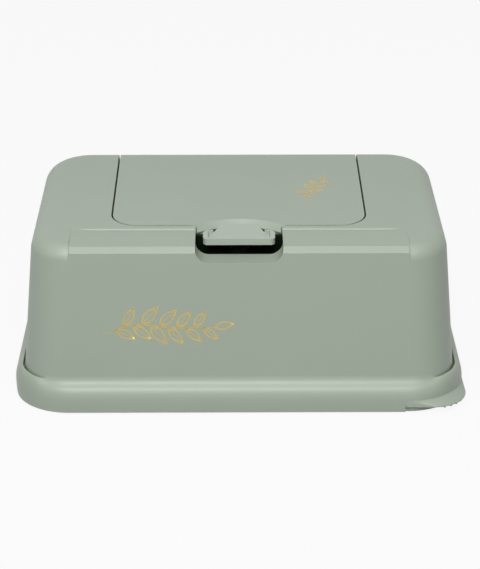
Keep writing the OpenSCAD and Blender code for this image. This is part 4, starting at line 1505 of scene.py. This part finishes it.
def build_deck():
    round_node("deck_panel", "deck", 0.3, "cover", "sage_inner")
    # The scoop's cup and brows take the black of painted shade that fills the finger scoop's
    # recess
    round_node("scoop_insert", "scoop_cup", 0.3, "cover", "black_insert", cup_brows())
    round_node("latch_catch", "latch_keeper", 0.25, "cover", "black_insert")


def build_membrane():
    w, d = seal_size()
    edge = S.membrane_edge
    hole_w = w - 2 * S.orifice_side
    hole_d = d - 2 * S.orifice_margin
    middle = (0, liner_size()[2])
    whole_d = hole_d + 2 * edge
    outer = rounded_rect(hole_w + 2 * edge, whole_d, S.orifice_r + edge, 16, middle)
    slot = rounded_rect(S.slot_w, S.slot_d, S.slot_d / 2 - 0.01, 16, middle)
    flat = 2 * edge / (whole_d - S.slot_d)
    dish = S.membrane_dish
    top = [(0, 0.85), (0.01, 1), (flat, 1), (flat + 0.06, 0.8), (0.5, 1 - dish)]
    top += [(0.72, 1.1 - dish), (0.84, 0.9), (0.9, 1.5), (0.95, 1.75), (0.98, 1.6), (1, 1.2)]
    under = [(1, 0.5), (0.96, 0.3), (0.9, 0.25), (0.84, -0.1), (0.72, 0.1 - dish), (0.5, -dish)]
    under += [(flat + 0.08, -0.1), (flat + 0.02, 0), (0.01, 0), (0, 0.15)]
    skin = ring_of("membrane", outer, slot, top + under, lid_place())
    finish_piece(skin, "cover", "silicone", "orifice", smooth=60)
    round_node("clamp_ring", "orifice_ring", 0.35, "cover", "sage_inner")


def build_bumpers():
    place = lid_place()
    low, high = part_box("lid_bumpers")
    near = place.inverted() @ (Vector(low) / MM)
    r = S.bumper_r
    rim_z = S.edge_r - S.rim_drop
    foot_z = rim_z - 2.1
    top_z = rim_z - 0.3
    x = high[0] / MM - r
    profile = [(0, foot_z), (r, foot_z), (r, top_z - 0.7), (r - 0.25, top_z - 0.2)]
    profile += [(r - 0.8, top_z), (0, top_z)]
    bumper = turned("bumper", profile, (0, 0), steps=32)
    shift = place @ Matrix.Translation((0, near.y + r, 0))
    bumpers = on_grid("rim_bumpers", bumper, 2, 1, 2 * x, 0, "silicone", shift)
    finish_piece(bumpers, "cover", "silicone", "lid_bumpers")


def build_liner():
    round_node("lid_lining", "lid_liner", 0.35, "lid", "sage_inner")
    w, d = seal_size()
    middle = (0, liner_size()[2])
    lip = S.seal_lip
    outer = rounded_rect(w, d, S.seal_r, 16, middle)
    inner = rounded_rect(w - 2 * lip, d - 2 * lip, S.seal_r - lip, 16, middle)
    top = liner_top() - S.liner_t
    low = 1.3
    profile = [(0, top), (0, top - 0.9), (0.25, top - 1.3), (0.3, low + 0.35), (0.4, low)]
    profile += [(0.55, low), (0.68, low + 0.3), (0.72, top - 1.3), (1, top - 0.9), (1, top)]
    seal = ring_of("lid_gasket", outer, inner, profile, lid_place())
    finish_piece(seal, "lid", "silicone", "lid_seal", smooth=50)


# ---------------------------------------------------------------- pins and screws


def screw(name, shank_r, shank_l, head_r, head_h):
    """A pan-head screw with a cross recess: head below z = 0, shank above."""
    pitch = 0.55
    root_r = shank_r * 0.86
    profile = [(0, -head_h), (head_r * 0.55, -head_h), (head_r * 0.85, -head_h * 0.8)]
    profile += [(head_r, -head_h * 0.35), (head_r, -0.1), (head_r - 0.1, 0), (shank_r, 0)]
    for i in range(int((shank_l - 1) / pitch)):
        z = 0.4 + i * pitch
        profile += [(shank_r, z), (root_r, z + 0.28)]
    profile += [(shank_r, shank_l - 0.5), (shank_r * 0.5, shank_l), (0, shank_l)]
    body = turned(name, profile, (0, 0), steps=32)
    long, short = head_r * 0.6, head_r * 0.13
    for x, y in ((long, short), (short, long)):
        cut(body, box("slot", (-x, -y, -head_h - 1), (x, y, -head_h * 0.4)))
    return body


def build_screws():
    place = lid_place()
    x, far, near = deck_screw_spots()
    shank_l = S.edge_r - S.wall - 0.6 - ear_z()
    deck_screw = screw("screw", S.deck_shank_r, shank_l, S.deck_head_r, S.deck_head_h)
    shift = place @ Matrix.Translation((0, (far + near) / 2, ear_z()))
    screws = on_grid("deck_fixings", deck_screw, 2, 2, 2 * x, near - far, "screw_steel", shift)
    finish_piece(screws, "cover", "screw_steel", "deck_screws", smooth=30)
    w, d, middle = liner_size()
    inset = S.boss_r + BOSS_EDGE
    wide, deep = w - 2 * inset, d - 2 * inset
    shank_l = S.liner_t + S.boss_l - 0.2
    lid_screw = screw("screw", S.lid_shank_r, shank_l, S.lid_head_r, S.lid_head_h)
    shift = place @ Matrix.Translation((0, middle, liner_top() - S.liner_t))
    screws = on_grid("liner_fixings", lid_screw, 2, 2, wide, deep, "screw_steel", shift)
    finish_piece(screws, "lid", "screw_steel", "lid_screws", smooth=30)


def build_hinge():
    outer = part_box("hinge_pins")[1][0] / MM
    inner = S.hub_x - 2
    long = outer - inner
    r = S.pin_r
    profile = [(0, 0), (r - 0.3, 0), (r, 0.3), (r, long - 0.3), (r - 0.3, long), (0, long)]
    pin = turned("pin", profile, (0, 0), steps=48)
    lying = Matrix.Rotation(math.pi / 2, 4, "Y") @ Matrix.Translation((0, 0, -long / 2))
    pin.data.transform(lying)
    pins = on_grid("hinge_axles", pin, 2, 1, outer + inner, 0, "pin_steel", lid_place())
    finish_piece(pins, "cover", "pin_steel", "hinge_pins")


# ---------------------------------------------------------------- foil sprigs


def leaf_loop(base, turn, long, wide, line):
    """The outline of a leaf as a closed thin band: its outer and its inner points."""
    outer, inner = [], []
    steps = 14
    for side in (1, -1):
        span = range(steps) if side > 0 else range(steps, 0, -1)
        for i in span:
            w = i / steps
            bulge = math.sin(math.pi * w**0.85) * wide / 2
            outer.append((w * long, side * bulge))
            shrink = max(0, bulge - line)
            inner.append((line * 1.6 + w * (long - 3.2 * line), side * shrink))
    c, s = math.cos(turn), math.sin(turn)

    def put(points):
        return [(base[0] + x * c - y * s, base[1] + x * s + y * c) for x, y in points]

    return put(outer), put(inner)


def stroke(path, thick):
    """A pen stroke along a path, thin at both ends."""
    left, right = [], []
    last = len(path) - 1
    for i, point in enumerate(path):
        ahead = Vector(path[min(i + 1, last)]) - Vector(path[max(i - 1, 0)])
        side = Vector((-ahead.y, ahead.x)).normalized()
        half = thick / 2 * (0.35 + 0.65 * math.sin(math.pi * min(max(i / last, 0.04), 0.96)))
        left.append(tuple(Vector(point) + side * half))
        right.append(tuple(Vector(point) - side * half))
    return right + left[::-1]


def sprig(name, surface, long, pairs, leaf, thick):
    """A leafy sprig of thin foil. surface turns a flat point and a height into a place."""
    sunk, raised = -0.03, 0.06
    pieces = []

    def stem(w):
        return (long * w, long * (0.1 * math.sin(2.6 * w) + 0.03 * math.sin(7 * w)))

    def sheet(outline):
        rings = [[surface(x, y, h) for x, y in outline] for h in (sunk, raised)]
        pieces.append(loft("foil", rings))

    def leaf_band(base, turn, size, wide):
        outer, inner = leaf_loop(base, turn, size, wide, thick)
        rings = []
        for outline, h in ((outer, sunk), (outer, raised), (inner, raised), (inner, sunk)):
            rings.append([surface(x, y, h) for x, y in outline])
        pieces.append(weld(loft("foil", rings, ends=False, closed=True)))

    sheet(stroke([stem(i / 40) for i in range(41)], thick))
    for i in range(pairs):
        w = 0.12 + 0.78 * i / (pairs - 1)
        x, y = stem(w)
        ahead = Vector(stem(w + 0.01)) - Vector((x, y))
        heading = math.atan2(ahead.y, ahead.x)
        size = leaf * (1 - 0.45 * abs(w - 0.42))
        side = 1 if i % 2 else -1
        turn = heading + side * math.radians(48 + 6 * math.sin(3 * i))
        leaf_band((x, y), turn, size, size * 0.42)
        reach = [size * 0.8 * v for v in (0, 0.25, 0.5, 0.75, 1)]
        vein = [(x + r * math.cos(turn), y + r * math.sin(turn)) for r in reach]
        sheet(stroke(vein, thick * 0.7))
    leaf_band(stem(1), 0.2, leaf * 0.8, leaf * 0.34)
    pieces[0].name = name
    return join(pieces)


def build_foil():
    base_x, base_z = -76, 46
    lean = math.cos(S.front_draft)

    def on_front(x, y, h):
        z = base_z + y * lean
        return Vector((x + base_x, front_y(z) - h, z))

    front = sprig("front_sprig", on_front, long=62, pairs=11, leaf=15, thick=0.8)
    finish_piece(front, "cover", "gold_foil")
    lid_x, lid_y = 38, -66
    turn = 1.15
    c, s = math.cos(turn), math.sin(turn)
    place = lid_place()

    def on_lid(x, y, h):
        return place @ Vector((lid_x + x * c - y * s, lid_y + x * s + y * c, S.edge_r + h))

    top = sprig("lid_sprig", on_lid, long=30, pairs=7, leaf=10, thick=0.7)
    finish_piece(top, "lid", "gold_foil")


# ---------------------------------------------------------------- stage


def area_light(name, place, width, depth, power):
    """A softbox at a place, in metres, that faces the dispenser."""
    data = bpy.data.lights.new(name, "AREA")
    data.shape = "RECTANGLE"
    data.size = width
    data.size_y = depth
    data.energy = power
    lamp = bpy.data.objects.new(name, data)
    lamp.location = place
    aim = Vector(LIGHT_AIM) - Vector(place)
    lamp.rotation_euler = aim.to_track_quat("-Z", "Y").to_euler()
    bpy.context.scene.collection.objects.link(lamp)


def seen_by_eye(tree):
    """1 where a ray from the camera, a mirror or glass ends, and 0 for plain light."""
    path = tree.nodes.new("ShaderNodeLightPath")
    eye = Value(tree, path.outputs["Is Camera Ray"])
    gloss = Value(tree, path.outputs["Is Glossy Ray"])
    glass = Value(tree, path.outputs["Is Transmission Ray"])
    return (eye + gloss + glass).above(0.5)


def build_floor():
    """A grey floor that takes the shadow, blended with white where it is looked at."""
    half, whiteness = 3, 0.92
    corners = [(-half, -half, 0), (half, -half, 0), (half, half, 0), (-half, half, 0)]
    floor = mesh_object("floor", corners, [(0, 1, 2, 3)])
    f = Finish("floor_paint")
    f.set(Base_Color=(0.55, 0.55, 0.55, 1), Roughness=0.9)
    glow = f.node("ShaderNodeEmission", Color=(1, 1, 1, 1), Strength=1.0)
    blend = f.node("ShaderNodeMixShader", Fac=seen_by_eye(f.tree) * whiteness)
    f.join(f.shader.outputs[0], blend.inputs[1])
    f.join(glow.outputs[0], blend.inputs[2])
    f.join(blend.outputs[0], f.tree.nodes["Material Output"].inputs["Surface"])
    floor.data.materials.append(f.material)


def build_room(glow):
    """A white room that looks fully white and lights the dispenser only by glow."""
    world = bpy.data.worlds.new("room")
    bpy.context.scene.world = world
    world.use_nodes = True
    tree = world.node_tree
    back = tree.nodes["Background"]
    back.inputs["Color"].default_value = (1, 1, 1, 1)
    strength = seen_by_eye(tree) * (1 - glow) + glow
    tree.links.new(strength.socket, back.inputs["Strength"])


def build_stage():
    scene = bpy.context.scene
    stage = scene.dispenser_stage
    build_floor()
    build_room(stage.world)
    area_light("key_left", (-0.95, -1.0, 0.75), 0.7, 0.7, stage.key_left)
    area_light("front_light", (-0.12, -1.05, 1.12), 0.8, 0.7, stage.front)
    area_light("top_light", (0.0, -0.2, 1.25), 0.9, 0.3, stage.top)
    target = Vector((stage.target_x, 0, stage.target_z))
    level = math.cos(stage.elevation)
    x, y = -math.sin(stage.turn) * level, -math.cos(stage.turn) * level
    away = Vector((x, y, math.sin(stage.elevation)))
    data = bpy.data.cameras.new("camera")
    data.lens = stage.focal
    data.sensor_width = 36
    camera = bpy.data.objects.new("camera", data)
    camera.location = target + away * stage.distance
    camera.rotation_euler = (-away).to_track_quat("-Z", "Y").to_euler()
    scene.collection.objects.link(camera)
    scene.camera = camera
    scene.view_settings.view_transform = "Standard"


# ---------------------------------------------------------------- operators


class DISPENSER_OT_finishes(bpy.types.Operator):
    """Make the materials and give them to the CAD nodes"""

    bl_idname = "dispenser.finishes"
    bl_label = "Finishes"

    def execute(self, context):
        make_materials()
        dress_nodes()
        return {"FINISHED"}


class DISPENSER_OT_stage(bpy.types.Operator):
    """Make the floor, the lights and the camera"""

    bl_idname = "dispenser.stage"
    bl_label = "Stage"

    def execute(self, context):
        build_stage()
        return {"FINISHED"}


class DISPENSER_OT_tray(bpy.types.Operator):
    """Make the tray and its gasket"""

    bl_idname = "dispenser.tray"
    bl_label = "Tray"

    def execute(self, context):
        build_tray()
        return {"FINISHED"}


class DISPENSER_OT_feet(bpy.types.Operator):
    """Make the rubber feet"""

    bl_idname = "dispenser.feet"
    bl_label = "Feet"

    def execute(self, context):
        build_feet()
        return {"FINISHED"}


class DISPENSER_OT_housing(bpy.types.Operator):
    """Make the housing with its bevel, scoop and lid opening"""

    bl_idname = "dispenser.housing"
    bl_label = "Housing"

    def execute(self, context):
        build_housing()
        return {"FINISHED"}


class DISPENSER_OT_skirt(bpy.types.Operator):
    """Make the skirt with its lift lip"""

    bl_idname = "dispenser.skirt"
    bl_label = "Skirt"

    def execute(self, context):
        build_skirt()
        return {"FINISHED"}


class DISPENSER_OT_deck(bpy.types.Operator):
    """Make the deck, the black cup of painted shade in the scoop, and the catch"""

    bl_idname = "dispenser.deck"
    bl_label = "Deck"

    def execute(self, context):
        build_deck()
        return {"FINISHED"}


class DISPENSER_OT_membrane(bpy.types.Operator):
    """Make the membrane with its slot and the ring that clamps it"""

    bl_idname = "dispenser.membrane"
    bl_label = "Membrane"

    def execute(self, context):
        build_membrane()
        return {"FINISHED"}


class DISPENSER_OT_bumpers(bpy.types.Operator):
    """Make the bumpers that the lid's rim comes down on"""

    bl_idname = "dispenser.bumpers"
    bl_label = "Bumpers"

    def execute(self, context):
        build_bumpers()
        return {"FINISHED"}


class DISPENSER_OT_lid(bpy.types.Operator):
    """Make the lid with its arch, hubs and lugs"""

    bl_idname = "dispenser.lid"
    bl_label = "Lid"

    def execute(self, context):
        build_lid()
        return {"FINISHED"}


class DISPENSER_OT_liner(bpy.types.Operator):
    """Make the lid's liner and its seal"""

    bl_idname = "dispenser.liner"
    bl_label = "Liner"

    def execute(self, context):
        build_liner()
        return {"FINISHED"}


class DISPENSER_OT_hinge(bpy.types.Operator):
    """Make the hinge pins"""

    bl_idname = "dispenser.hinge"
    bl_label = "Hinge pins"

    def execute(self, context):
        build_hinge()
        return {"FINISHED"}


class DISPENSER_OT_screws(bpy.types.Operator):
    """Make the screws of the deck and of the liner"""

    bl_idname = "dispenser.screws"
    bl_label = "Screws"

    def execute(self, context):
        build_screws()
        return {"FINISHED"}


class DISPENSER_OT_latch(bpy.types.Operator):
    """Make the thumb tab, its hook, its pin and its spring"""

    bl_idname = "dispenser.latch"
    bl_label = "Latch"

    def execute(self, context):
        build_tab()
        build_hook()
        build_latch_pin()
        build_spring()
        return {"FINISHED"}


class DISPENSER_OT_foil(bpy.types.Operator):
    """Make the foil sprigs on the front and on the lid"""

    bl_idname = "dispenser.foil"
    bl_label = "Foil sprigs"

    def execute(self, context):
        build_foil()
        return {"FINISHED"}


OPERATORS = (
    DISPENSER_OT_finishes,
    DISPENSER_OT_stage,
    DISPENSER_OT_tray,
    DISPENSER_OT_feet,
    DISPENSER_OT_housing,
    DISPENSER_OT_skirt,
    DISPENSER_OT_deck,
    DISPENSER_OT_membrane,
    DISPENSER_OT_bumpers,
    DISPENSER_OT_lid,
    DISPENSER_OT_liner,
    DISPENSER_OT_hinge,
    DISPENSER_OT_screws,
    DISPENSER_OT_latch,
    DISPENSER_OT_foil,
)


class DISPENSER_PT_panel(bpy.types.Panel):
    """The dispenser's steps and sizes."""

    bl_label = "Wipes dispenser"
    bl_space_type = "VIEW_3D"
    bl_region_type = "UI"
    bl_category = "Dispenser"

    def draw(self, context):
        for step in OPERATORS:
            self.layout.operator(step.bl_idname)
        for name, group in GROUPS.items():
            column = self.layout.box()
            column.label(text=name.capitalize())
            for key in group.__annotations__:
                column.prop(getattr(context.scene, "dispenser_" + name), key)


def register():
    for name, group in GROUPS.items():
        bpy.utils.register_class(group)
        setattr(bpy.types.Scene, "dispenser_" + name, bpy.props.PointerProperty(type=group))
    for step in OPERATORS:
        bpy.utils.register_class(step)
    bpy.utils.register_class(DISPENSER_PT_panel)


def unregister():
    bpy.utils.unregister_class(DISPENSER_PT_panel)
    for step in reversed(OPERATORS):
        bpy.utils.unregister_class(step)
    for name, group in reversed(GROUPS.items()):
        delattr(bpy.types.Scene, "dispenser_" + name)
        bpy.utils.unregister_class(group)


def main():
    register()
    for step in OPERATORS:
        family, name = step.bl_idname.split(".")
        getattr(getattr(bpy.ops, family), name)()


if __name__ == "__main__":
    main()
